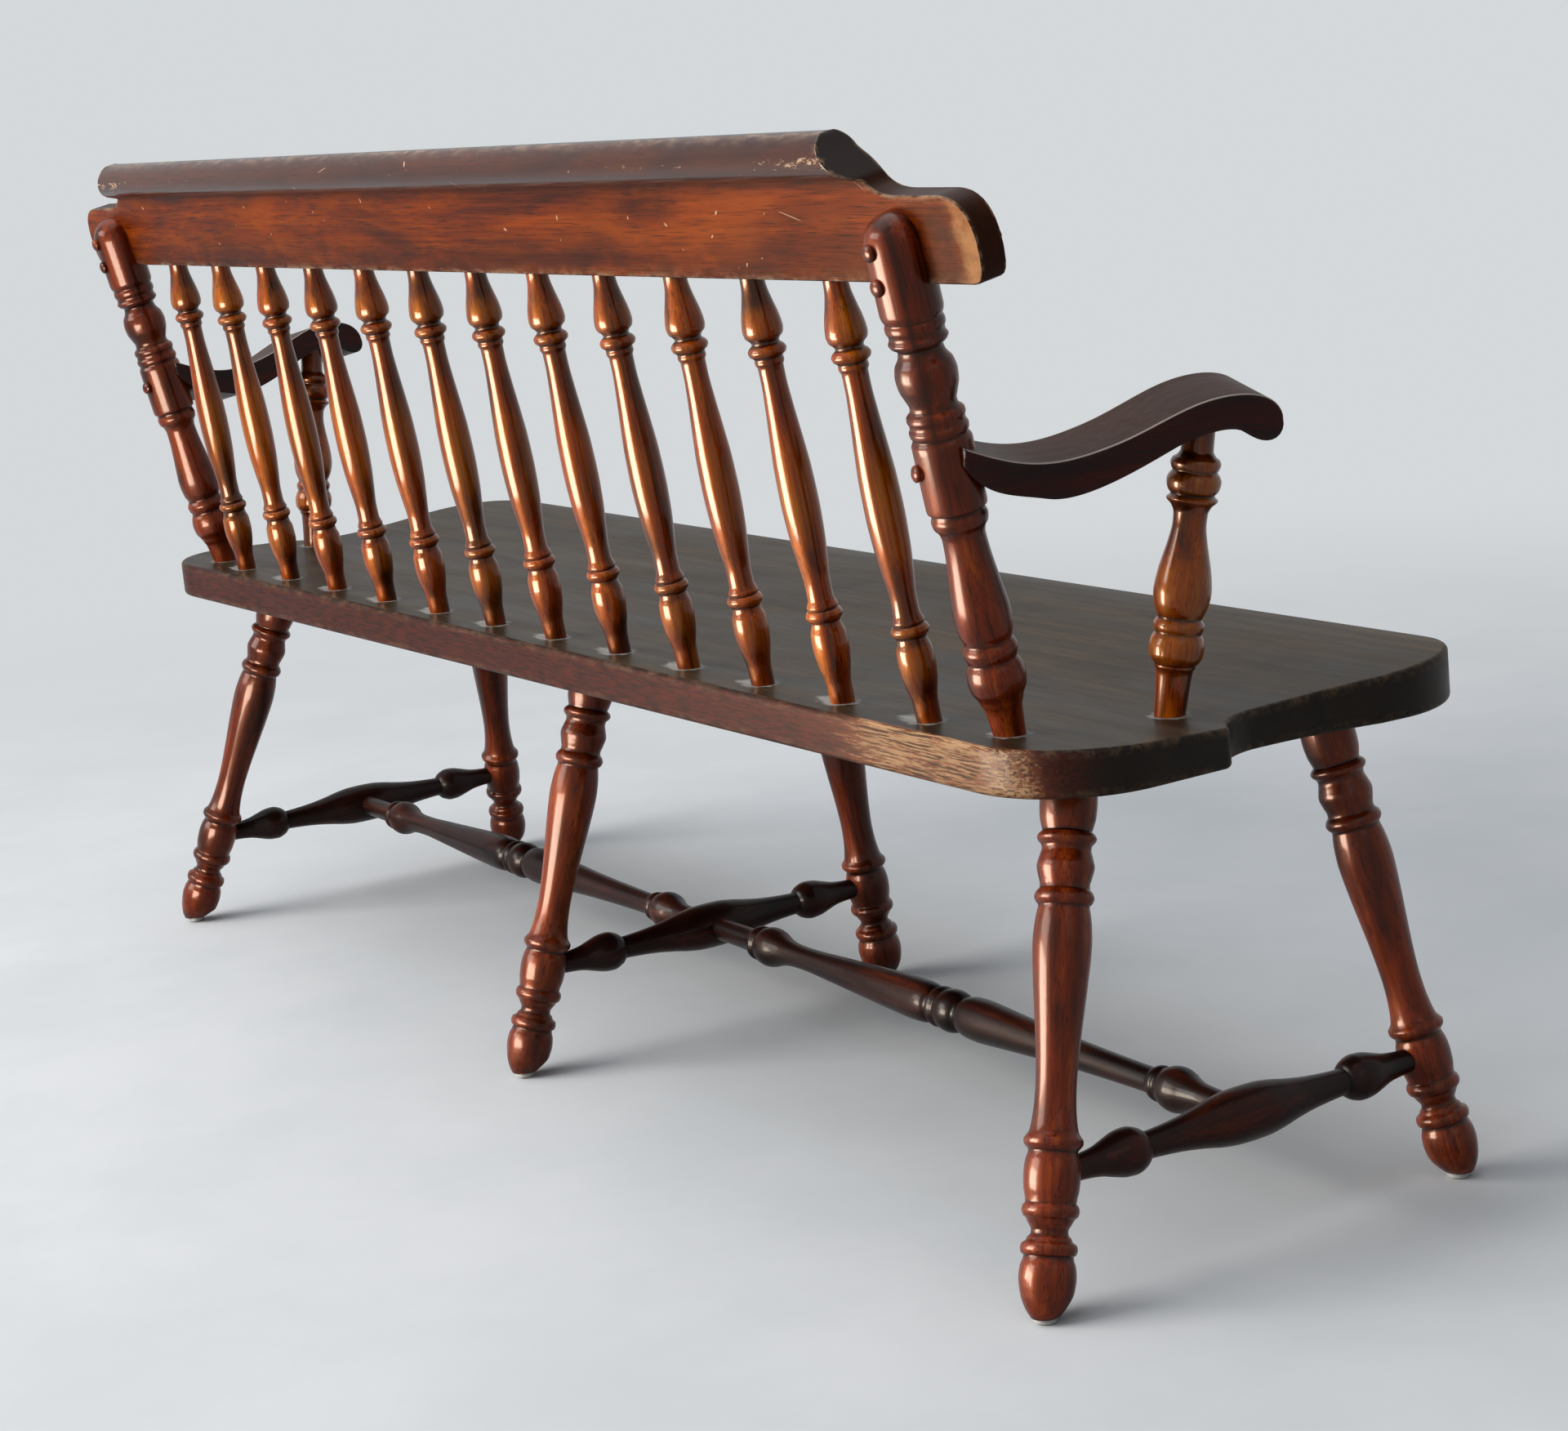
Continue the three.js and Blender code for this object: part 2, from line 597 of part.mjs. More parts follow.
// Plan of the seat: round back corners, a cove just in front of each arm support, round front corners
function seatPlan() {
  const half = seatLength / 2;
  const cornerShare = 0.21;        // of the depth, as are the four below
  const lobeShare = 0.355;
  const coveShare = 0.47;
  const easeShare = 0.6;
  const flareShare = 0.73;
  const neckShare = 0.0375;        // of half the length, as is the next
  const frontInsetShare = 0.0165;
  const corner = cornerShare * seatDepth;
  const lobe = corner / 10;
  const lobeY = -lobeShare * seatDepth;
  const neckX = half * (1 - neckShare);
  const frontX = half * (1 - frontInsetShare);
  const path = new THREE.Path();
  path.moveTo(half - corner, 0);
  path.absarc(half - corner, -corner, corner, Math.PI / 2, 0, true);
  path.lineTo(half, lobeY);
  path.absarc(half - lobe, lobeY, lobe, 0, -Math.PI / 3, true);
  path.quadraticCurveTo(neckX + lobe / 2, lobeY - 2 * lobe, neckX, -coveShare * seatDepth);
  path.quadraticCurveTo(neckX, -easeShare * seatDepth, frontX - lobe / 5, -flareShare * seatDepth);
  path.lineTo(frontX, corner - seatDepth);
  path.absarc(frontX - corner, corner - seatDepth, corner, 0, -Math.PI / 2, true);
  return bothSides(path, 5);
}

function seatTopAt(y) {
  const share = -y / seatDepth;
  const next = Math.max(1, scoopShares.findIndex(([s]) => s >= share));
  const [[s0, h0], [s1, h1]] = [scoopShares[next - 1], scoopShares[next]];
  return seatHeight + seatThickness * (h0 + (h1 - h0) * (share - s0) / (s1 - s0));
}

function makeSeat() {
  const eased = seatThickness / 12;
  const slab = new THREE.ExtrudeGeometry(seatPlan(), {
    depth: 2 * seatThickness, bevelThickness: eased, bevelSize: eased, bevelOffset: -eased,
    bevelSegments: 1,
  }).translate(0, 0, seatUnderside + eased);
  const section = new THREE.Shape();
  section.moveTo(seatDepth, 0);
  section.lineTo(-2 * seatDepth, 0);
  section.lineTo(-seatDepth, seatUnderside);
  for (const [s, h] of scoopShares.toReversed()) {
    section.lineTo(-s * seatDepth, seatHeight + h * seatThickness);
  }
  section.lineTo(seatDepth, seatHeight);
  return solid(slab).intersect(solid(alongBench(section)));
}

add('seat', cutBy(makeSeat(), seatCuts), 'seatBrown');

// Crest rail: a flat board whose top rolls over to the back

function crestSection() {
  const roll = crestRollDiameter / 2;
  const behindShare = 0.225;       // of the roll's radius, from the board's back to the roll's centre
  const swellShare = 1.9;          // of the same, from its centre down to where the front starts to swell
  const tuckShare = 0.96;          // of the same, down to where the roll meets the back
  const turnShare = 0.45;          // of a half turn, from straight back down to the roll's end
  const rollZ = crestHeight - roll;
  const rollY = crestBack + behindShare * roll;
  const section = new THREE.Shape();
  section.moveTo(crestFront, -crestHeight);
  section.lineTo(crestFront, rollZ - swellShare * roll);
  section.quadraticCurveTo(crestFront, rollZ - roll / 2, rollY - roll, rollZ);
  section.absarc(rollY, rollZ, roll, Math.PI, -turnShare * Math.PI, true);
  section.lineTo(crestBack, rollZ - tuckShare * roll);
  section.lineTo(crestBack, -crestHeight);
  return section;
}

function makeCrest() {
  const half = postAtCrest.x + crestOverhang;
  const ends = trace(new THREE.Path(), crestEndShares, (x, z) => [half - x * crestHeight, z * crestHeight]);
  const depth = 4 * crestHeight;
  const board = new THREE.ExtrudeGeometry(bothSides(ends, 5), { depth, bevelEnabled: false })
    .applyMatrix4(new THREE.Matrix4().makeBasis(at(1, 0, 0), at(0, 0, 1), at(0, -1, 0)))
    .translate(0, depth / 2, 0);
  return solid(board, crestFrame).intersect(solid(alongBench(crestSection(), 8), crestFrame));
}

add('crest_rail', cutBy(makeCrest(), crestCuts), 'redBrown');

// Assembly: origin on the floor at the middle of the footprint
const placed = new THREE.Group();
placed.name = 'bench_on_floor';
placed.add(...pieces);
const box = new THREE.Box3().setFromObject(placed, true);
const centre = box.getCenter(at(0, 0, 0));
placed.position.set(-centre.x, -centre.y, -box.min.z);

const bench = new THREE.Group();
bench.name = 'deacons_bench';
bench.add(placed);
bench.updateMatrixWorld(true);

export default bench;
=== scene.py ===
import math
import random

import bmesh
import bpy
import numpy as np
from mathutils import Matrix, Vector, kdtree


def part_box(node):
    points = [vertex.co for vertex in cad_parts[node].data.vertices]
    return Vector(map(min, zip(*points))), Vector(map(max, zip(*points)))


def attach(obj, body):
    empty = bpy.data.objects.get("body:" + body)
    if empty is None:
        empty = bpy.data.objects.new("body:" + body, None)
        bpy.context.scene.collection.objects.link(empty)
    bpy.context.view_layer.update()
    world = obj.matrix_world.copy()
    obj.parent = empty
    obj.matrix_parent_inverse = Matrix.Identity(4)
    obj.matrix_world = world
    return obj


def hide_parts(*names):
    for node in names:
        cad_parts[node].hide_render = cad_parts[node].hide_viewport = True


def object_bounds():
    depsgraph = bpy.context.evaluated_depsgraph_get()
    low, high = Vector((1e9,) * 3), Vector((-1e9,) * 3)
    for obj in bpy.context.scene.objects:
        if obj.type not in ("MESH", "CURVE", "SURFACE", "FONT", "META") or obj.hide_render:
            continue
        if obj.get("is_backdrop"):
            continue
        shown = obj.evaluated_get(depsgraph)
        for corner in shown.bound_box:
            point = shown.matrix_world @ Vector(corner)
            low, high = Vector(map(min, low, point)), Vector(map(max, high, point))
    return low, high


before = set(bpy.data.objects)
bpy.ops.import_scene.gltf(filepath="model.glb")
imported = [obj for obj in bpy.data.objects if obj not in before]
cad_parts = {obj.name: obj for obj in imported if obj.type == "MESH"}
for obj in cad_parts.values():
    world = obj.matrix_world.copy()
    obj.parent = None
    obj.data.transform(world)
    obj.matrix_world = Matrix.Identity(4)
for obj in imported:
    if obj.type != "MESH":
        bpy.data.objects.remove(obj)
cad_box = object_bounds()

# Looks of the deacons bench: finer turnings, plank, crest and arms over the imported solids,
# lacquered wood with glaze, grain and wear, and the photo's camera.
# Metres, +Z up. The sitter faces -Y, "left" is +X, and the photo's near end is the right one.

MM = 0.001
random.seed(7)


def mm(*sizes):
    return tuple(size * MM for size in sizes)


# Sizes of the bench, as in the part

SEAT_TOP = 447 * MM
SEAT_THICKNESS = 39 * MM
SEAT_LENGTH = 1806 * MM
SEAT_DEPTH = 474 * MM
SEAT_UNDERSIDE = SEAT_TOP - SEAT_THICKNESS
SEAT_CORNER = 0.21 * SEAT_DEPTH  # radius of its corners
LOBE = SEAT_CORNER / 10  # radius of the small lobe behind the cove in each end
LOBE_FROM_BACK = 0.355 * SEAT_DEPTH
NECK_X = SEAT_LENGTH / 2 * (1 - 0.0375)  # where the cove is deepest
FRONT_X = SEAT_LENGTH / 2 * (1 - 0.0165)
BACK_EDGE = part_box("seat")[1].y  # every y below is counted from the seat's back edge

GLIDE_HEIGHT = 6 * MM
LEG_INSET = 123 * MM
LEG_SPLAY = 92 * MM
BACK_LEG_INSET = 109 * MM
BACK_LEG_RAKE = 133 * MM
FRONT_LEG_INSET = 104 * MM
FRONT_LEG_RAKE = 45 * MM
FOOT_LEVELLED = 16 * MM  # how high up a leg its level foot still tells

POST_HEIGHT = 415 * MM
POST_INSET = 111 * MM
POST_FLARE = 16 * MM
POST_FROM_BACK = 44 * MM
POST_RAKE = 82 * MM

CREST_HEIGHT = 121 * MM
CREST_THICKNESS = 23 * MM
CREST_ROLL = 39 * MM
CREST_LAP = 57 * MM
CREST_OVERHANG = 97 * MM
CREST_SEAT_ON_POST = 5 * MM

SPINDLE_COUNT = 12
SPINDLE_FROM_BACK = 32.5 * MM
POST_TO_SPINDLE_AT_SEAT = 93.5 * MM
POST_TO_SPINDLE_AT_CREST = 122 * MM

ARM_ABOVE_SEAT = 215 * MM
ARM_WIDTH = 53 * MM  # at the post's axis
ARM_HAND_WIDTH = 70 * MM
ARM_REACH = 268 * MM
ARM_SPLAY = math.radians(12.4)
ARM_ROLL = math.radians(10.7)
SUPPORT_INSET = 75.8 * MM
SUPPORT_FROM_BACK = 175 * MM
SUPPORT_REACH = 213 * MM
SUPPORT_RISE_SHARE = 0.012  # of the arm's reach, from its screw up to the support's head

SUNK = 9 * MM  # how far a turning runs on into the piece that it stands in
SAME_PLACE = MM / 100  # points this close are one
SHARP = math.radians(50)

# Turned outlines, foot first: (place along the piece, radius in mm). A place is in mm or a share,
# and the last row is the piece's end.

LEG = [
    (0, 12.5), (5, 16.5), (13, 20.6), (20, 22.2), (26, 22.8), (34, 22), (39, 20.2), (41.5, 19.7),
    (43, 21.8), (46.5, 22.7), (50, 21.8), (51.5, 19.5), (52.5, 18.2), (54.5, 17.5), (57, 15), (60, 14.7),
    (63.5, 16.5), (66, 18), (68.5, 19.5), (70, 21.5), (74, 22.9), (78, 21.8), (79.5, 20.2), (83, 20.6),
    (90, 22), (100.5, 22.6), (110, 21.6), (115, 20), (117, 19.6), (119.5, 21.5), (122, 23.4), (125, 23.6),
    (128, 21.5), (131, 19.6), (140, 17.8), (152, 16.6), (165, 16.2), (184, 17), (200, 18.2), (217.5, 19.8),
    (243, 22.1), (262, 23.4), (269, 23.6), (282, 22.8), (290, 21.6), (296, 20.5), (298, 22.5), (302, 24),
    (306, 22.5), (308.5, 20.2), (311, 19.9), (317, 21.4), (325, 23.1), (332, 21.4), (338, 19.8), (341, 20.5),
    (343, 22.6), (346, 23.9), (349, 22.4), (351, 20), (355, 21), (362, 22.6), (372, 23.2), (385, 22.6),
    (402, 20),
]
POST = [
    (0, 13), (.055, 15.2), (.065, 17), (.076, 18.5), (.095, 22.5), (.115, 23.4), (.135, 22), (.15, 19.5),
    (.158, 21), (.17, 21.9), (.18, 20.5), (.186, 19), (.205, 21.5), (.24, 22.8), (.28, 21.2), (.32, 19.2),
    (.36, 17.6), (.39, 17.1), (.405, 18.5), (.415, 21.5), (.427, 22.4), (.437, 21.3), (.442, 21),
    (.446, 23.6), (.455, 24), (.573, 23.8), (.58, 22.5), (.585, 21.6), (.591, 23), (.599, 23.3),
    (.607, 21.8), (.613, 21.8), (.62, 23), (.628, 22.6), (.637, 19), (.645, 18.5), (.66, 20.5), (.68, 23.4),
    (.7, 24.2), (.72, 22.8), (.738, 18.5), (.75, 17.6), (.757, 21.5), (.765, 23.4), (.774, 21.8),
    (.779, 21.8), (.788, 23.4), (.795, 23.4), (.803, 22.4), (.81, 23.8), (.82, 24.7), (.94, 24.7),
    (.955, 24), (.97, 22), (.983, 17.6), (.992, 12.4), (.998, 6), (1, 0),
]
SPINDLE = [
    (0, 10.3), (.045, 10.6), (.06, 11.3), (.095, 14), (.135, 15.5), (.165, 15), (.185, 12.8), (.195, 12.5),
    (.2, 14.5), (.21, 15.8), (.219, 14.5), (.223, 12.6), (.23, 13.4), (.237, 12.4), (.25, 11.1), (.28, 11),
    (.34, 13), (.4, 15), (.48, 16), (.55, 15.6), (.62, 14), (.7, 11.8), (.76, 10.7), (.792, 10.8),
    (.802, 12.4), (.812, 12), (.82, 15.2), (.829, 16.2), (.838, 14.6), (.846, 11.5), (.853, 12.5),
    (.863, 16), (.878, 17), (.905, 15.8), (.94, 12.8), (.975, 10.4), (1, 10),
]
SUPPORT = [
    (0, 12.5), (.165, 15), (.172, 16.5), (.182, 16.5), (.188, 18), (.215, 21.4), (.245, 22), (.275, 20.6),
    (.295, 18.5), (.303, 19.4), (.32, 20.2), (.335, 19), (.345, 17.5), (.365, 19.5), (.4, 22), (.44, 23),
    (.5, 21.5), (.56, 18.5), (.62, 15.3), (.675, 13.4), (.71, 13.6), (.74, 16.5), (.755, 20),
    (.762, 20.5), (.77, 18.5), (.776, 17.4), (.79, 19.8), (.81, 21.3), (.825, 21.6), (.845, 20),
    (.858, 17.8), (.866, 18.8), (.885, 20), (.902, 18.4), (.91, 15.5), (.93, 13), (1, 12.6),
]
# From the middle of a cross stretcher to its end
CROSS_HALF = [
    (0, 23), (14, 22.7), (30, 20.7), (47, 17.3), (66, 14.2), (86, 12.2), (105, 11.2), (106.5, 13.6),
    (112, 17.5), (120, 19.7), (128, 19.2), (140, 16), (152, 12.5), (165, 10.8), (178, 10.2), (189, 10.2),
]
# A thin ring and then a bead, three times over, from the bench's left to its right
LONG = [
    (0, 11.3), (32, 11.3), (72, 11.6), (86, 12.6), (89, 14.5), (92, 17.2), (96, 17.6), (99, 16), (101, 15.2),
    (104, 17), (110, 19.4), (116, 19.9), (123, 19), (133, 16), (145, 13.2), (159, 11.8), (177, 11.4),
    (237, 13.8), (307, 17.2), (347, 19), (372, 19.9), (387, 19.6), (397, 17.8), (401.5, 14.8), (404.5, 14.2),
    (406.5, 16.2), (408.5, 18.6), (411.5, 19.5), (415, 18.7), (418, 17.4), (420.5, 18.4), (425, 19.8),
    (431, 20.4), (437, 19.6), (442, 17.4), (445.5, 14.6), (448, 14.2), (451, 16.4), (457, 18.6), (467, 19.9),
    (479, 20), (507, 18.6), (547, 16.4), (607, 13.6), (667, 12), (715, 11.3), (723, 11.4), (726, 13),
    (730, 15.4), (734, 15.8), (737, 14.6), (739, 14.8), (744, 17.4), (750, 19.3), (756, 19.9), (763, 18.8),
    (773, 15.2), (787, 12.3), (807, 11.4), (834, 11.3),
]
CAP = [(0, 6.3), (2.3, 6.4), (2.8, 6.8), (3.8, 6.8), (4.9, 6), (5.8, 4.3), (6.4, 2.2), (6.5, 0)]
GLIDE = [(0, 8), (.8, 9.4), (1.8, 9.8), (5.2, 9.8), (5.9, 9.4), (6, 8.8)]


# Lines and frames

def across(point):
    """A point drawn with y = 0 at the seat's back edge, in the bench's own frame."""
    return Vector((point[0], point[1] + BACK_EDGE, point[2]))


def leg_line(side, back):
    """The points on a leg's axis at the floor and at the seat's underside."""
    head_x = side * (SEAT_LENGTH / 2 - LEG_INSET)
    head_y = -BACK_LEG_INSET if back else FRONT_LEG_INSET - SEAT_DEPTH
    rake = BACK_LEG_RAKE if back else -FRONT_LEG_RAKE
    foot = across((head_x + side * LEG_SPLAY, head_y + rake, 0))
    return foot, across((head_x, head_y, SEAT_UNDERSIDE))


def post_line(side):
    foot_x = SEAT_LENGTH / 2 - POST_INSET
    foot = across((side * foot_x, -POST_FROM_BACK, SEAT_TOP))
    return foot, across((side * (foot_x + POST_FLARE), POST_RAKE - POST_FROM_BACK, SEAT_TOP + POST_HEIGHT))


def at_height(line, height):
    foot, head = line
    return foot.lerp(head, (height - foot.z) / (head.z - foot.z))


def arm_frame(side):
    """The arm screw's point on the post's axis, and the arm's directions: forward, up and across."""
    hub = at_height(post_line(side), SEAT_TOP + ARM_ABOVE_SEAT)
    forward = Vector((side * math.sin(ARM_SPLAY), -math.cos(ARM_SPLAY), 0))
    outward = Vector((side * math.cos(ARM_SPLAY), math.sin(ARM_SPLAY), 0))
    up = Vector((0, 0, math.cos(ARM_ROLL))) + outward * math.sin(ARM_ROLL)
    return hub, forward, up, forward.cross(up)


# The crest's frame: x along the bench, y out of its back, z up the leaning board
LEAN = math.atan2(POST_RAKE, POST_HEIGHT)
UP_BOARD = Vector((0, math.sin(LEAN), math.cos(LEAN)))
BEHIND_BOARD = Vector((0, math.cos(LEAN), -math.sin(LEAN)))
POST_AT_CREST = at_height(post_line(1), SEAT_TOP + POST_HEIGHT - CREST_LAP)
CREST_BACK = -CREST_SEAT_ON_POST
CREST_FRONT = CREST_BACK - CREST_THICKNESS


def on_crest(x, y, z):
    return Vector((x, POST_AT_CREST.y, POST_AT_CREST.z)) + BEHIND_BOARD * y + UP_BOARD * z


def from_crest(point):
    """A point of the bench in the crest's own directions: along it, up it and out of its back."""
    away = point - on_crest(0, 0, 0)
    return point.x, away.dot(UP_BOARD), away.dot(BEHIND_BOARD)


# Curves

def monotone(xs, ys, samples):
    """A smooth curve through points, without bumps of its own, read at the samples."""
    widths = np.diff(xs)
    slopes = np.diff(ys) / widths
    tangents = np.zeros(len(xs))
    tangents[0], tangents[-1] = slopes[0], slopes[-1]
    before, after = slopes[:-1], slopes[1:]
    same_way = before * after > 0
    total = np.where(same_way, before + after, 1)
    tangents[1:-1] = np.where(same_way, 2 * before * after / total, 0)
    i = np.clip(np.searchsorted(xs, samples, side="right") - 1, 0, len(widths) - 1)
    width = widths[i]
    t = (samples - xs[i]) / width
    start = (1 + 2 * t) * (1 - t) ** 2 * ys[i] + t * (1 - t) ** 2 * width * tangents[i]
    return start + t * t * (3 - 2 * t) * ys[i + 1] + t * t * (t - 1) * width * tangents[i + 1]


def smooth(value, start, end):
    t = min(max((value - start) / (end - start), 0), 1)
    return t * t * (3 - 2 * t)


def traced(rows, steps):
    """Points along an outline: its start, then a line's end or a curve's control points and end."""
    points = [np.array(rows[0], float)]
    for row in rows[1:]:
        corners = [points[-1]] + [np.array(row[i:i + 2], float) for i in range(0, len(row), 2)]
        degree = len(corners) - 1
        for t in np.linspace(0, 1, (1 if degree == 1 else steps) + 1)[1:]:
            weights = [math.comb(degree, k) * t ** k * (1 - t) ** (degree - k) for k in range(degree + 1)]
            points.append(sum(w * c for w, c in zip(weights, corners)))
    return np.array(points)


def evenly(points, count):
    """Points at even steps along a line of points."""
    steps = np.append(0, np.cumsum(np.linalg.norm(np.diff(points, axis=0), axis=1)))
    wanted = np.linspace(0, steps[-1], count)
    return np.stack([np.interp(wanted, steps, points[:, k]) for k in (0, 1)], 1)


# Pieces

def new_object(name, data):
    thing = bpy.data.objects.new(name, data)
    bpy.context.scene.collection.objects.link(thing)
    return thing


def make_piece(name, points, faces, attributes):
    mesh = bpy.data.meshes.new(name)
    mesh.from_pydata([tuple(p) for p in points], [], faces)
    for key, values in attributes.items():
        values = np.asarray(values, np.float32)
        kind = "FLOAT_VECTOR" if values.ndim == 2 else "FLOAT"
        layer = mesh.attributes.new(key, kind, "POINT")
        layer.data.foreach_set("vector" if values.ndim == 2 else "value", values.ravel())
    mesh.shade_smooth()
    mesh.set_sharp_from_angle(angle=SHARP)
    mesh.validate()
    return new_object(name, mesh)


def dress(piece, node, material):
    """Stands a piece for a CAD node, with its material."""
    piece.data.materials.append(material)
    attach(piece, "root")
    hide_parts(node)


def add_attribute(piece, name, value_at):
    layer = piece.data.attributes.new(name, "FLOAT", "POINT")
    layer.data.foreach_set("value", [value_at(vertex.co) for vertex in piece.data.vertices])


SHORT_STRETCH = 9 * MM  # between two rows of an outline, so that a ring lies there
FINE_STEP = 1.3 * MM
COARSE_STEP = 5 * MM


def fine_profile(rows, length):
    """Heights and radii along a turning, close together at its rings and wider along tapers."""
    places = np.array([row[0] for row in rows], float)
    radii = np.array([row[1] for row in rows], float) * MM
    heights = places / places[-1] * length
    samples = [heights[0]]
    for start, end in zip(heights[:-1], heights[1:]):
        step = FINE_STEP if end - start < SHORT_STRETCH else COARSE_STEP
        samples.extend(np.linspace(start, end, max(2, math.ceil((end - start) / step) + 1))[1:])
    samples = np.array(samples)
    return samples, np.maximum(monotone(heights, radii, samples), 0)


RELIEF_SPAN = 8 * MM
RELIEF_STEP = MM / 2
FULL_RELIEF = 3 * MM


def relief(heights, radii):
    """How far each ring lies below (+) or above (-) the piece's local average radius."""
    grid = np.arange(heights[0] - RELIEF_SPAN, heights[-1] + RELIEF_SPAN, RELIEF_STEP)
    dense = np.interp(grid, heights, radii)
    kernel = np.hanning(int(2 * RELIEF_SPAN / RELIEF_STEP) + 1)
    padded = np.pad(dense, len(kernel) // 2, mode="edge")
    average = np.convolve(padded, kernel / kernel.sum(), mode="valid")
    return (np.interp(heights, grid, average) - radii) / FULL_RELIEF


def turning(name, rows, foot, head, run_on=(0, 0), level_foot=False, sides=40):
    """A turned piece between two points. It may run on past its ends, or have its foot cut level."""
    axis = head - foot
    length = axis.length
    heights, radii = fine_profile(rows, length)
    ease = relief(heights, radii)
    for at, past, place in ((0, run_on[0], -run_on[0]), (-1, run_on[1], length + run_on[1])):
        if past:
            spot = len(heights) if at else 0
            added = (place, radii[at], 0)
            heights, radii, ease = (np.insert(a, spot, b) for a, b in zip((heights, radii, ease), added))
    tip = heights[-1]
    if radii[-1] < SAME_PLACE:
        heights, radii, ease = heights[:-1], radii[:-1], ease[:-1]

    spin = random.uniform(0, 2 * math.pi)
    upright = axis.normalized().to_track_quat("Z", "Y").to_matrix()
    basis = np.array(upright @ Matrix.Rotation(spin, 3, "Z"))
    angles = np.arange(sides) * 2 * math.pi / sides
    flat = radii[:, None, None] * np.stack([np.cos(angles), np.sin(angles)], 1)[None]
    local = np.concatenate([flat, np.broadcast_to(heights[:, None, None], flat.shape[:2] + (1,))], 2)
    if level_foot:
        # Shears the lowest rings on to the level plane of the foot, less and less up the piece
        rise = flat @ basis[2, :2] / basis[2, 2]
        local[:, :, 2] -= rise * np.clip(1 - heights / FOOT_LEVELLED, 0, 1)[:, None]
    local = np.vstack([local.reshape(-1, 3), [(0, 0, heights[0]), (0, 0, tip)]])

    faces = []
    for low in range(0, (len(heights) - 1) * sides, sides):
        for j in range(sides):
            k = (j + 1) % sides
            faces.append((low + j, low + k, low + sides + k, low + sides + j))
    bottom, top = len(local) - 2, len(local) - 1
    last = bottom - sides
    for j in range(sides):
        k = (j + 1) % sides
        faces.append((bottom, k, j))
        faces.append((top, last + j, last + k))
    offset = [random.uniform(-1, 1) for _ in range(3)]
    depth = np.append(np.repeat(ease, sides), [0, 0])
    return make_piece(name, local @ basis.T + np.array(foot), faces, {
        "grain": local + offset,
        "groove": np.clip(depth, 0, 1),
        "edge": np.clip(-depth, 0, 1),
        "swell": np.append(np.repeat(radii, sides), [0, 0]) / max(radii),
        "tint": np.full(len(local), random.uniform(0, 1)),
    })


def turn_for(node, material, *shape, look="turned", **settings):
    dress(turning(f"{look}_{node}", *shape, **settings), node, material)


def stretcher(node, rows, axis):
    """A stretcher along the middle of its CAD box, from its left or back end to the other."""
    low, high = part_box(node)
    ends = [(low + high) / 2, (low + high) / 2]
    ends[0][axis], ends[1][axis] = high[axis], low[axis]
    turn_for(node, BLACK, rows, *ends, sides=36)


def mirrored(half):
    """Both halves of a cross stretcher, from one end to the other."""
    end = half[-1][0]
    return [(end - s, r) for s, r in half[:0:-1]] + [(end + s, r) for s, r in half]


def outward_normals(ring):
    """Unit normals out of a closed ring of points, whichever way it runs."""
    tangent = np.roll(ring, -1, 0) - np.roll(ring, 1, 0)
    tangent /= np.linalg.norm(tangent, axis=1)[:, None]
    area = np.sum(ring[:, 0] * np.roll(ring[:, 1], -1) - np.roll(ring[:, 0], -1) * ring[:, 1])
    normal = np.stack([tangent[:, 1], -tangent[:, 0]], 1)
    return normal if area > 0 else -normal


EDGE_TURNS = [math.radians(a) for a in (22, 45, 68, 90)]
EDGE_WEAR = 0.8  # on the faces, beside their edge
EDGE_WEAR_REACH = 2 * MM
SAME_CORNER = MM / 50


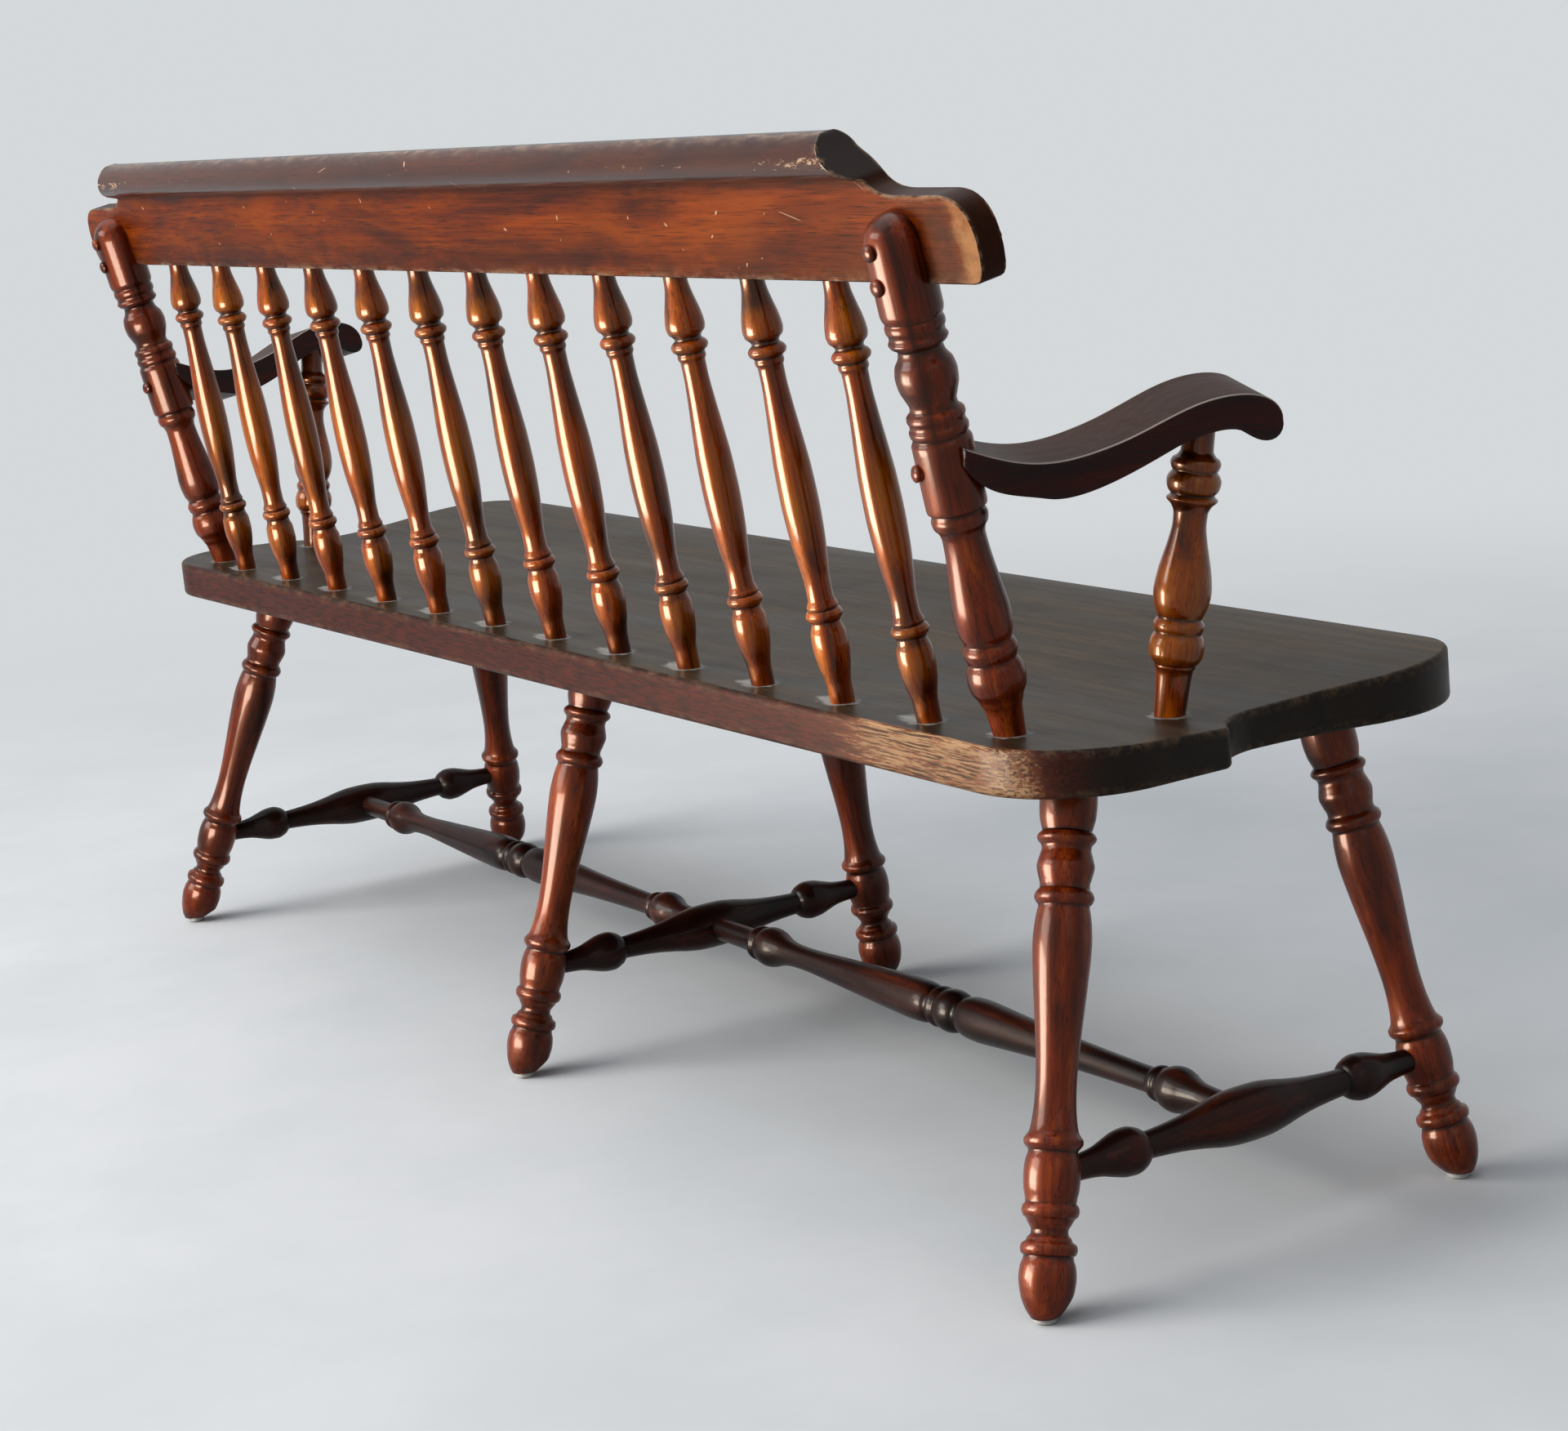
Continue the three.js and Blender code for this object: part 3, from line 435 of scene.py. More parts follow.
def slab(name, chain_a, chain_b, shares, low, high, place, grain, ease, worn=None, walls=4):
    """A board with eased edges. Its outline is two matching chains of points, joined at their ends by
    straight lines, and shares(a, b) says where the rows between a point of each lie. low and high give
    the heights of its faces, place puts (u, v, w) in the bench and grain turns it to the wood's own."""
    count = len(chain_a)

    def grid_of(a_points, b_points):
        return np.array([[a + (b - a) * s for s in shares(a, b)] for a, b in zip(a_points, b_points)])

    # Ring of grid places round the outline, without the ones that lie on each other
    outline = grid_of(np.asarray(chain_a, float), np.asarray(chain_b, float))
    columns = outline.shape[1]
    order = [(i, 0) for i in range(count)] + [(count - 1, j) for j in range(1, columns)]
    order += [(i, columns - 1) for i in range(count - 2, -1, -1)]
    order += [(0, j) for j in range(columns - 2, 0, -1)]
    places = [order[0]]
    for here in order[1:]:
        if np.linalg.norm(outline[here] - outline[places[-1]]) > SAME_CORNER:
            places.append(here)
    true_ring = np.array([outline[p] for p in places])
    normals = outward_normals(true_ring)
    eases = np.array([ease(*p) for p in true_ring])
    inset_ring = true_ring - normals * eases[:, None]

    # Faces on the inset outline
    inset = dict(zip(places, inset_ring))
    chain_low = [inset.get((i, 0), outline[i, 0]) for i in range(count)]
    chain_high = [inset.get((i, columns - 1), outline[i, columns - 1]) for i in range(count)]
    grid = grid_of(chain_low, chain_high)
    for p, q in inset.items():
        grid[p] = q
    tree = kdtree.KDTree(len(inset_ring))
    for i, p in enumerate(inset_ring):
        tree.insert((p[0], p[1], 0), i)
    tree.balance()
    flat = grid.reshape(-1, 2)
    half = len(flat)
    near = np.array([tree.find((p[0], p[1], 0))[2] for p in flat])
    drawn = [(p[0], p[1], face(*p)) for face in (high, low) for p in flat]
    edges = 2 * list(EDGE_WEAR * np.exp(-near / EDGE_WEAR_REACH))
    faces = []
    for i in range(count - 1):
        for j in range(columns - 1):
            here, beyond = i * columns + j, (i + 1) * columns + j
            quad = (here, beyond, beyond + 1, here + 1)
            faces.append(quad)
            faces.append(tuple(half + q for q in reversed(quad)))

    # Rim: a quarter round, the wall and a quarter round, from the high face to the low one
    around = [i * columns + j for i, j in places]
    rows = [around]

    def add_row(edge, at):
        rows.append(range(len(drawn), len(drawn) + len(places)))
        for corner in zip(true_ring, normals, eases, inset_ring):
            drawn.append(at(*corner))
            edges.append(edge)

    def add_round(turn, face, way):
        def at(p, normal, e, q):
            out = p - normal * e * (1 - math.sin(turn))
            return out[0], out[1], face(*q) + way * e * (1 - math.cos(turn))
        add_row(1, at)

    def add_wall(share):
        def at(p, normal, e, q):
            top, bottom = high(*q) - e, low(*q) + e
            return p[0], p[1], top + (bottom - top) * share
        add_row(0, at)

    for turn in EDGE_TURNS:
        add_round(turn, high, -1)
    for wall in range(1, walls):
        add_wall((1 - math.cos(math.pi * wall / walls)) / 2)
    for turn in reversed(EDGE_TURNS):
        add_round(turn, low, 1)
    rows.append([half + i for i in around])
    for upper, lower in zip(rows[:-1], rows[1:]):
        for i in range(len(places)):
            k = (i + 1) % len(places)
            faces.append((upper[i], lower[i], lower[k], upper[k]))

    drawn = np.array(drawn)
    piece = make_piece(name, [place(*p) for p in drawn], faces, {
        "grain": np.array([grain(*p) for p in drawn]),
        "groove": np.zeros(len(drawn)),
        "edge": np.array(edges),
        "rim": (np.arange(len(drawn)) >= 2 * half).astype(float),
        "worn": np.array([worn(*p) if worn else 0 for p in drawn]),
        "tint": np.full(len(drawn), random.uniform(0, 1)),
    })
    tidy_mesh(piece)
    return piece


def tidy_mesh(piece):
    """Joins points in the same place, drops faces without area and turns all faces outward."""
    shape = bmesh.new()
    shape.from_mesh(piece.data)
    bmesh.ops.remove_doubles(shape, verts=shape.verts, dist=SAME_PLACE)
    bmesh.ops.dissolve_degenerate(shape, edges=shape.edges, dist=SAME_PLACE)
    bmesh.ops.recalc_face_normals(shape, faces=shape.faces)
    shape.to_mesh(piece.data)
    shape.free()
    piece.data.shade_smooth()
    piece.data.set_sharp_from_angle(angle=SHARP)


# Materials. A colour is written in hex, the way it looks on a screen.

def rgb(hex_colour):
    """The linear colour."""
    channels = [int(hex_colour[i:i + 2], 16) / 255 for i in (0, 2, 4)]
    return tuple(c / 12.92 if c <= 0.04045 else ((c + 0.055) / 1.055) ** 2.4 for c in channels) + (1,)


class Nodes:
    """Short calls for building the nodes of a material or of the world."""

    def __init__(self, owner):
        owner.use_nodes = True
        self.owner = owner
        self.tree = owner.node_tree

    def put(self, socket, value):
        if isinstance(value, bpy.types.NodeSocket):
            self.tree.links.new(value, socket)
        else:
            socket.default_value = rgb(value) if isinstance(value, str) else value

    def add(self, kind, inputs=None, **settings):
        node = self.tree.nodes.new("ShaderNode" + kind)
        for key, value in settings.items():
            setattr(node, key, value)
        for key, value in (inputs or {}).items():
            self.put(node.inputs[key], value)
        return node

    def set(self, **values):
        """Gives the material's Principled BSDF its values."""
        for key, value in values.items():
            self.put(self.tree.nodes["Principled BSDF"].inputs[key.replace("_", " ")], value)

    def math(self, operation, *values, clamp=False):
        return self.add("Math", dict(enumerate(values)), operation=operation, use_clamp=clamp).outputs[0]

    def times(self, a, b):
        return self.math("MULTIPLY", a, b)

    def plus(self, a, b, share=None):
        """a and b, or a and a share of b."""
        return self.math("ADD", a, self.times(b, share) if share else b)

    def minus(self, a, b):
        return self.math("SUBTRACT", a, b)

    def most(self, a, b, clamp=False):
        return self.math("MAXIMUM", a, b, clamp=clamp)

    def attribute(self, name, output="Fac"):
        return self.add("Attribute", attribute_name=name).outputs[output]

    def noise(self, vector, across, along, shift=(0, 0, 0), detail=4, roughness=0.55, distortion=0):
        """Noise of so many waves a metre across the grain, and along it."""
        scale = (across, across, along)
        place = self.add("Mapping", {"Vector": vector, "Scale": scale, "Location": shift}).outputs[0]
        inputs = {"Vector": place, "Scale": 1, "Detail": detail, "Roughness": roughness,
                  "Distortion": distortion}
        return self.add("TexNoise", inputs).outputs[0]

    def ramp(self, value, low, high, to_low=0.0, to_high=1.0, kind="SMOOTHSTEP"):
        inputs = {"Value": value, "From Min": low, "From Max": high, "To Min": to_low, "To Max": to_high}
        return self.add("MapRange", inputs, interpolation_type=kind).outputs[0]

    def mix(self, share, a, b):
        return self.add("Mix", {0: share, 6: a, 7: b}, data_type="RGBA").outputs[2]


class Wood(Nodes):
    """Stained, glazed and lacquered wood. The stain runs from dark to light grain, glaze and painted shade
    fill the grooves, and bare wood shows where edges are worn. sheen is the shine of the fibres under the
    coat of lacquer.
    marks adds what one piece alone has."""

    def __init__(self, name, stain, glaze_and_shade, bare, gloss, coat, glazing_and_shade, wear, sheen, sheen_tint="ffffff",
                 coat_rough=0.11, figure_size=1.0, marks=None):
        super().__init__(bpy.data.materials.new(name))
        self.grain = self.attribute("grain", "Vector")
        self.fibre = self.noise(self.grain, 300, 8, detail=5, roughness=0.62)
        streak = self.noise(self.grain, 80, 2.5, detail=3, distortion=0.5)
        self.figure = self.noise(self.grain, 18 * figure_size, 4 * figure_size, detail=3, distortion=1.4)
        pores = self.noise(self.grain, 950, 28, detail=2, roughness=0.5)
        self.patch = self.noise(self.grain, 24, 7, detail=3)

        tone = self.plus(self.times(streak, 0.42), self.figure, 0.38)
        tone = self.plus(tone, self.fibre, 0.3)
        tone = self.plus(tone, self.attribute("tint"), 0.06)
        dark, middle, light = stain
        self.colour = self.mix(self.ramp(tone, 0.44, 0.62), dark, middle)
        self.paint(self.ramp(tone, 0.58, 0.74), light)
        pore = self.ramp(pores, 0.55, 0.66)
        self.paint(self.times(pore, 0.75), glaze_and_shade)

        # Glaze and painted shade lie in the grooves, and glaze alone in broad, uneven patches
        groove = self.plus(self.attribute("groove"), self.minus(self.patch, 0.5), 0.4)
        groove_glaze_and_shade = self.times(self.ramp(groove, 0.03, 0.38), 0.95 * glazing_and_shade)
        cloudy = self.plus(self.patch, self.fibre, 0.35)
        cloud = self.times(self.ramp(cloudy, 0.62, 0.84), 0.8 * glazing_and_shade)
        self.paint(self.most(groove_glaze_and_shade, cloud), glaze_and_shade)

        # Wear on the edges and crests
        scuff = self.noise(self.grain, 120, 45, (3, 1, 2), detail=5, roughness=0.65)
        edge = self.times(self.attribute("edge"), self.ramp(scuff, 0.42, 0.66))
        self.bareness = self.times(edge, wear)
        self.rough = self.ramp(self.figure, 0.3, 0.7, gloss, gloss + 0.1)
        self.height = self.plus(self.times(self.fibre, 0.35), pore, -0.5)
        self.coat = coat
        if marks:
            marks(self)
        self.paint(self.bareness, bare)
        rough = self.plus(self.rough, self.bareness, 0.25)
        bump = self.add("Bump", {"Height": self.height, "Strength": 0.22, "Distance": MM / 2}).outputs[0]
        self.set(Base_Color=self.colour, Roughness=rough, Normal=bump, Coat_Weight=self.coat,
                 Coat_Roughness=coat_rough, Specular_IOR_Level=sheen, Specular_Tint=sheen_tint)

    def paint(self, share, colour):
        self.colour = self.mix(share, self.colour, colour)

    def roughen(self, share, by):
        self.rough = self.plus(self.rough, share, by)

    def wear_down(self, share):
        self.bareness = self.most(self.bareness, share, clamp=True)

    def nicks(self, cell, long, short, turn, share):
        """Small marks scattered over a board's face, one in some of the cells, each turned its own way."""
        cells = self.add("TexVoronoi", {"Vector": self.grain, "Scale": 1 / cell, "Randomness": 0.9})
        dice = self.add("SeparateColor", {0: cells.outputs["Color"]})
        spots = {0: self.grain, 1: cells.outputs["Position"]}
        away = self.add("VectorMath", spots, operation="SUBTRACT").outputs[0]
        spin = {"Vector": away, "Angle": self.ramp(dice.outputs[1], 0.0, 1.0, *turn)}
        turned = self.add("VectorRotate", spin, rotation_type="X_AXIS").outputs[0]
        sides = self.add("SeparateXYZ", {0: turned})
        size = self.ramp(dice.outputs[2], 0.0, 1.0, 0.45, 1.3)
        up = self.math("DIVIDE", sides.outputs[1], self.times(size, short))
        along = self.math("DIVIDE", sides.outputs[2], self.times(size, long))
        inside = self.ramp(self.plus(self.times(up, up), self.times(along, along)), 0.55, 1.0, 1.0, 0.0)
        return self.times(inside, self.math("LESS_THAN", dice.outputs[0], share))


# Nicks on the crest: their spacing and size in metres, their turns, and how many there are
TICKS = {"cell": 0.021, "long": 0.0024, "short": 0.001, "turn": (0.3, 2.9), "share": 0.1}
SCRATCHES = {"cell": 0.104, "long": 0.015, "short": 0.0005, "turn": (-0.25, 0.6), "share": 0.26}


def crest_marks(n):
    """Pale nicks and scratches, a dark roll with rubbed specks, a tan film and black sawn edges."""
    roll, worn, film = map(n.attribute, ("roll", "worn", "film"))
    n.paint(n.times(roll, 0.8), "2a1512")
    n.coat = n.ramp(roll, 0.0, 1.0, 0.02, 0.6)
    warmth = n.times(n.ramp(n.plus(n.figure, n.fibre, 0.3), 0.6, 0.85), 0.5)
    n.paint(n.times(warmth, n.minus(1.0, roll)), "9c420c")

    # Painted shade in smudges, darker towards the lower edge, and the near post's painted shadow mixed with
    # dark glaze beside it; then a tan film where hands have rubbed the ear and the lower edge
    haze = n.noise(n.grain, 55, 40, (2, 6, 1), detail=5, roughness=0.6)
    shade_glaze_mottle = n.plus(n.times(haze, 0.6), n.patch, 0.5)
    painted_shade_share = n.times(n.attribute("painted_shade_glaze"), n.ramp(shade_glaze_mottle, 0.4, 0.62, 0.5, 1.0))
    n.paint(n.times(painted_shade_share, 0.9), "2c0b04")
    hazy = n.times(film, n.ramp(n.plus(haze, film, 0.25), 0.5, 0.92))
    n.paint(n.times(hazy, 0.85), "c68c58")
    n.roughen(hazy, 0.1)

    ticks = n.times(n.nicks(**TICKS), n.ramp(n.figure, 0.47, 0.55))
    scratch = n.times(n.nicks(**SCRATCHES), 0.7)
    chips = n.noise(n.grain, 240, 90, (1, 4, 2), detail=6, roughness=0.7)
    chipped = n.times(n.ramp(n.plus(chips, worn, 0.2), 0.7, 0.76), worn)
    specks = n.times(n.ramp(chips, 0.67, 0.75), n.times(roll, 0.5))
    marked = n.most(n.most(ticks, scratch), n.most(chipped, specks))

    rim = n.attribute("rim")
    sawn = n.times(rim, n.minus(1.0, n.attribute("edge")))
    n.paint(n.times(rim, 0.9), "17110f")
    marked = n.times(marked, n.minus(1.0, n.times(sawn, 0.9)))
    n.height = n.minus(n.height, n.times(marked, 0.8))
    n.wear_down(marked)


SPINDLE_FOOT = 10.5 * MM  # radius
POST_FOOT = 13.2 * MM
SUPPORT_FOOT = 12.7 * MM
DUST_REACH = 13 * MM


def dust_rings(n):
    """Pale dust round the feet of the spindles, posts and arm supports, on the seat's top."""
    x, y, z = n.add("SeparateXYZ", {0: n.add("TexCoord").outputs["Object"]}).outputs
    half = SEAT_LENGTH / 2
    last = half - POST_INSET - POST_TO_SPINDLE_AT_SEAT
    pitch = 2 * last / (SPINDLE_COUNT - 1)
    from_middle = n.math("ABSOLUTE", x)
    from_end = n.minus(half, from_middle)
    # Past the last spindle the pattern of feet is pushed away
    past = n.math("GREATER_THAN", from_middle, last + pitch / 2)
    from_spindle = n.minus(n.math("WRAP", x, pitch, 0.0), pitch / 2)
    smeared = n.most(n.times(from_spindle, 0.42), n.times(from_spindle, -1.0))
    ring = 0.0
    for along, from_back, radius in (
        (n.plus(smeared, past), SPINDLE_FROM_BACK, SPINDLE_FOOT),
        (n.minus(from_end, POST_INSET), POST_FROM_BACK, POST_FOOT),
        (n.minus(from_end, SUPPORT_INSET), SUPPORT_FROM_BACK, SUPPORT_FOOT),
    ):
        back = n.minus(y, BACK_EDGE - from_back)
        away = n.math("SQRT", n.plus(n.times(along, along), n.times(back, back)))
        ring = n.most(ring, n.ramp(n.minus(away, radius), 0.0, DUST_REACH, 1.0, 0.0))
    dust = n.noise(n.grain, 150, 55, (4, 4, 4), detail=4, roughness=0.6)
    dusty = n.times(n.ramp(n.plus(dust, ring, 0.55), 0.76, 1.08), 0.75)
    return n.times(dusty, n.math("GREATER_THAN", z, SEAT_TOP - SEAT_THICKNESS / 2))


def seat_marks(n):
    """The red back edge with its rubbed grain, ends and front darkened nearly to black, partly as painted
    shade, and pale dust round the feet of the back.
    """
    worn, warm, rim = map(n.attribute, ("worn", "warm", "rim"))
    raised = n.noise(n.grain, 420, 38, (2, 5, 1), detail=6, roughness=0.7)
    # Ends and front painted nearly black, partly as painted shade
    n.paint(n.times(rim, 0.8), "120b09")
    n.paint(n.times(warm, 0.9), n.mix(n.ramp(raised, 0.38, 0.62), "280900", "581a06"))
    # Rubbed down to orange first, and to bare tan wood in the thick of it
    stained = n.times(n.ramp(n.plus(n.patch, worn, 0.3), 0.5, 0.85), worn)
    n.paint(n.times(stained, 0.8), "8a4620")
    scraped = n.plus(n.times(raised, 0.75), n.patch, 0.35)
    rubbed = n.times(n.ramp(n.plus(scraped, worn, 0.26), 0.74, 0.86), worn)
    crack = n.noise(n.grain, 520, 26, (7, 1, 3), detail=3, distortion=0.6)
    cracked = n.times(n.ramp(crack, 0.52, 0.6), n.times(worn, 0.85))
    dusty = dust_rings(n)
    n.paint(dusty, "a9a7a2")
    n.roughen(n.most(rubbed, dusty), 0.25)
    n.height = n.minus(n.height, n.times(rubbed, n.times(raised, 2.0)))
    n.wear_down(n.times(rubbed, 0.9))
    n.bareness = n.times(n.bareness, n.minus(1.0, cracked))
    n.paint(cracked, "1c0c06")


def amber_marks(n):
    """Bellies rubbed to a clear orange, and dark streaky tapers between them."""
    swell = n.attribute("swell")
    clear = n.times(n.ramp(swell, 0.74, 0.96), n.ramp(n.patch, 0.36, 0.62))
    n.paint(n.times(clear, 0.6), n.mix(n.ramp(n.fibre, 0.36, 0.62), "863200", "d87808"))
    n.paint(n.times(n.ramp(n.fibre, 0.42, 0.62), n.ramp(swell, 0.66, 0.86, 0.65, 0.12)), "1c0602")


def arm_marks(n):
    """A greyer, duller brown top, partly painted sheen and partly rubbed by elbows, with a thin pale line
    along its edges.
    """
    top = n.times(n.attribute("rim"), n.attribute("worn"))
    # The top's greyer brown is partly a painted sheen
    n.paint(n.times(top, 0.85), n.mix(n.ramp(n.fibre, 0.35, 0.65), "38231c", "463028"))
    n.roughen(top, 0.08)
    n.wear_down(n.times(n.ramp(n.attribute("line"), 0.8, 1.0), n.ramp(n.patch, 0.25, 0.5, 0.35, 0.9)))


def plain(name, light, dark, metallic=0.0, roughness=0.4, waves=200):
    """Plastic or steel with a slight mottle."""
    n = Nodes(bpy.data.materials.new(name))
    mottle = n.noise(n.add("TexCoord").outputs["Object"], waves, waves, detail=3)
    n.set(Base_Color=n.mix(n.ramp(mottle, 0.35, 0.7), light, dark), Metallic=metallic,
          Roughness=n.ramp(mottle, 0.3, 0.7, roughness, roughness + 0.15),
          Normal=n.add("Bump", {"Height": mottle, "Strength": 0.1, "Distance": 0.4 * MM}).outputs[0])
    return n.owner


AMBER = Wood("amber_wood", ("300900", "a43c00", "e47a08"), glaze_and_shade="0c0200", bare="c07a40", gloss=0.3,
             coat=0.45, glazing_and_shade=1.0, wear=0.2, sheen=0.36, sheen_tint="ff9c40", marks=amber_marks).owner
RED = Wood("red_brown_wood", ("300a01", "822c0a", "b05218"), glaze_and_shade="0e0300", bare="b8765e", gloss=0.32,
           coat=0.28, glazing_and_shade=1.0, wear=0.35, sheen=0.22, sheen_tint="ffa078", coat_rough=0.15).owner
BLACK = Wood("black_brown_wood", ("140502", "2e0e05", "56200c"), glaze_and_shade="080201", bare="5c3424", gloss=0.36,
             coat=0.12, glazing_and_shade=0.8, wear=0.2, sheen=0.1).owner
ARM = Wood("arm_wood", ("1e0503", "360d06", "4c190c"), glaze_and_shade="0e0302", bare="c4b4a8", gloss=0.4, coat=0.06,
           glazing_and_shade=0.6, wear=0.05, sheen=0.12, figure_size=0.8, marks=arm_marks).owner
CREST = Wood("crest_wood", ("4a1300", "803000", "a24a06"), glaze_and_shade="200600", bare="d8b08c", gloss=0.36,
             coat=0.2, glazing_and_shade=0.5, wear=0.45, sheen=0.1, sheen_tint="ffa064", figure_size=0.9,
             marks=crest_marks).owner
SEAT = Wood("seat_wood", ("261c12", "3a2c1c", "4c3b28"), glaze_and_shade="160f0a", bare="c49c74", gloss=0.42,
            coat=0.06, glazing_and_shade=0.5, wear=0.12, sheen=0.1, figure_size=0.7, marks=seat_marks).owner
PLASTIC = plain("glide_plastic", "e8e6de", "cfccc2", roughness=0.45)
STEEL = plain("screw_steel", "9a958c", "7d7870", metallic=1.0, roughness=0.3, waves=900)

# Legs, glides and stretchers

SIDES = (("left", 1), ("right", -1))

for bay, side in (("left", 1), ("middle", 0), ("right", -1)):
    for row in ("back", "front"):
        foot, head = leg_line(side, row == "back")
        sole = at_height((foot, head), GLIDE_HEIGHT)
        turn_for(f"{row}_leg_{bay}", RED, LEG, sole, head, (0, SUNK), level_foot=True, sides=48)
        ends = [Vector((sole.x, sole.y, z)) for z in (0, GLIDE_HEIGHT)]
        turn_for(f"{row}_glide_{bay}", PLASTIC, GLIDE, *ends, look="round", sides=32)

    stretcher(f"cross_stretcher_{bay}", mirrored(CROSS_HALF), axis=1)
    if side:
        stretcher(f"long_stretcher_{bay}", LONG, axis=0)

# Posts, spindles and arm supports

# The seat's top from its back edge to its front: (share of its depth, rise as a share of its thickness)
SCOOP = [
    (0, 0), (.12, -.03), (.25, -.11), (.38, -.165), (.49, -.155), (.62, -.085), (.74, .005), (.85, .09),
    (.93, .125), (.975, .1), (1, .04),
]


def seat_height(x, y):
    shares, rises = (np.array(column) for column in zip(*SCOOP))
    share = min(max(-y / SEAT_DEPTH, 0), 1)
    return SEAT_TOP + SEAT_THICKNESS * float(monotone(shares, rises, np.array([share]))[0])


for end, side in SIDES:
    turn_for(f"back_post_{end}", RED, POST, *post_line(side), (SUNK, 0), sides=56)

    hub, forward, up, _ = arm_frame(side)
    foot_x = side * (SEAT_LENGTH / 2 - SUPPORT_INSET)
    foot = across((foot_x, -SUPPORT_FROM_BACK, seat_height(foot_x, -SUPPORT_FROM_BACK)))
    head = hub + forward * SUPPORT_REACH + Vector((0, 0, SUPPORT_RISE_SHARE * ARM_REACH))
    turn_for(f"arm_support_{end}", AMBER, SUPPORT, foot, head, (SUNK, SUNK), sides=48)

AT_SEAT = SEAT_LENGTH / 2 - POST_INSET - POST_TO_SPINDLE_AT_SEAT
AT_CREST = POST_AT_CREST.x - POST_TO_SPINDLE_AT_CREST

for i in range(SPINDLE_COUNT):
    place = 2 * i / (SPINDLE_COUNT - 1) - 1
    foot = across((place * AT_SEAT, -SPINDLE_FROM_BACK, SEAT_TOP))
    head = on_crest(place * AT_CREST, (CREST_BACK + CREST_FRONT) / 2, 0)
    turn_for(f"spindle_{i + 1:02d}", AMBER, SPINDLE, foot, head, (SUNK, SUNK / 2), sides=36)

# Screws and their caps

for end, side in SIDES:
    for screw in ("crest_screw_upper", "crest_screw_lower", "arm_screw"):
        node = f"{screw}_{end}_cap"
        outward = -arm_frame(side)[1] if screw == "arm_screw" else BEHIND_BOARD
        corners = [v.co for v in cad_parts[node].data.vertices]
        centre = sum(corners, Vector()) / len(corners)
        top = centre + outward * max((c - centre).dot(outward) for c in corners)
        base = top - outward * (CAP[-1][0] * MM)
        turn_for(node, RED, CAP, base, top, look="domed", sides=32)
        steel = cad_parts[f"{screw}_{end}"].data.materials
        steel.clear()
        steel.append(STEEL)

# Seat

SEAT_EASE = 4 * MM
END_COLUMNS = np.array(mm(0, 2.5, 6, 14, 30))
SEAT_COLUMNS = 60
# Where its wear comes up and fades out, along the bench's right half and in from its back edge
WORN_FROM = mm(530, 700)
WORN_TO = mm(850, 893)
WORN_CORNER = mm(820, 860)
WORN_EDGE = mm(-9, -3)
WORN_EDGE_AT_CORNER = mm(-26, -8)  # farther in
RED_CORNER = mm(825, 870)
RED_EDGE = mm(-5, -1.5)
RED_EDGE_AT_CORNER = mm(-60, -8)


def seat_side():
    """The right-hand side of the seat's plan, from its back edge to its front edge."""
    points = []

    def arc(x, y, radius, start, end, steps):
        for angle in np.linspace(start, end, steps):
            points.append((x + radius * math.cos(angle), y + radius * math.sin(angle)))

    arc(SEAT_LENGTH / 2 - SEAT_CORNER, -SEAT_CORNER, SEAT_CORNER, math.pi / 2, 0, 22)
    arc(SEAT_LENGTH / 2 - LOBE, -LOBE_FROM_BACK, LOBE, 0, -math.pi / 3, 6)
    cove = [points[-1], (NECK_X + LOBE / 2, -LOBE_FROM_BACK - 2 * LOBE, NECK_X, -0.47 * SEAT_DEPTH),
            (NECK_X, -0.6 * SEAT_DEPTH, FRONT_X - LOBE / 5, -0.73 * SEAT_DEPTH)]
    points.extend(tuple(p) for p in traced(cove, 14)[1:])
    arc(FRONT_X - SEAT_CORNER, SEAT_CORNER - SEAT_DEPTH, SEAT_CORNER, 0, -math.pi / 2, 22)
    return points


def seat_columns(a, b):
    """Rows across the seat: close to its ends, and even between."""
    close = END_COLUMNS / abs(b[0] - a[0])
    even = np.linspace(close[-1], 1 - close[-1], SEAT_COLUMNS)
    return np.concatenate([close, even[1:-1], 1 - close[::-1]])


def on_back_edge(y, edge, at_corner, corner):
    return smooth(y, *(start + corner * more for start, more in zip(edge, at_corner)))


def seat_worn(x, y, z):
    """Grain rubbed bare along the back edge, near its right-hand end."""
    corner = smooth(-x, *WORN_CORNER)
    spot = smooth(-x, *WORN_FROM) * (1 - smooth(-x, *WORN_TO))
    return on_back_edge(y, WORN_EDGE, WORN_EDGE_AT_CORNER, corner) * (0.14 + 0.86 * spot)


def seat_warm(point):
    """The seat's red back edge, below its rounded upper corner."""
    corner = smooth(abs(point.x), *RED_CORNER)
    on_back = on_back_edge(point.y - BACK_EDGE, RED_EDGE, RED_EDGE_AT_CORNER, corner)
    return on_back * (1 - smooth(point.z, SEAT_TOP - SEAT_EASE, SEAT_TOP))


side_chain = seat_side()
seat = slab(
    "scooped_seat", side_chain, [(-x, y) for x, y in side_chain], seat_columns,
    low=lambda x, y: SEAT_UNDERSIDE, high=seat_height,
    place=lambda x, y, z: across((x, y, z)), grain=lambda x, y, z: (y, z, x),
    ease=lambda x, y: SEAT_EASE, worn=seat_worn,
)
add_attribute(seat, "warm", seat_warm)
dress(seat, "seat", SEAT)

# Crest rail

ROLL_SHRINK = 0.6 * MM  # keeps the finely rounded roll inside the CAD's box
ROLL = CREST_ROLL / 2 - ROLL_SHRINK
CREST_TOP = CREST_HEIGHT - ROLL_SHRINK
ROLL_Z = CREST_TOP - ROLL
ROLL_Y = CREST_BACK + 0.225 * CREST_ROLL / 2
TUCK = ROLL_Z - 0.97 * ROLL  # where the roll's underside meets the board's back
CREST_HALF = POST_AT_CREST.x + CREST_OVERHANG
CREST_EASE = 1.3 * MM
TOP_EASE = 0.04 * MM  # on the roll, which is round already
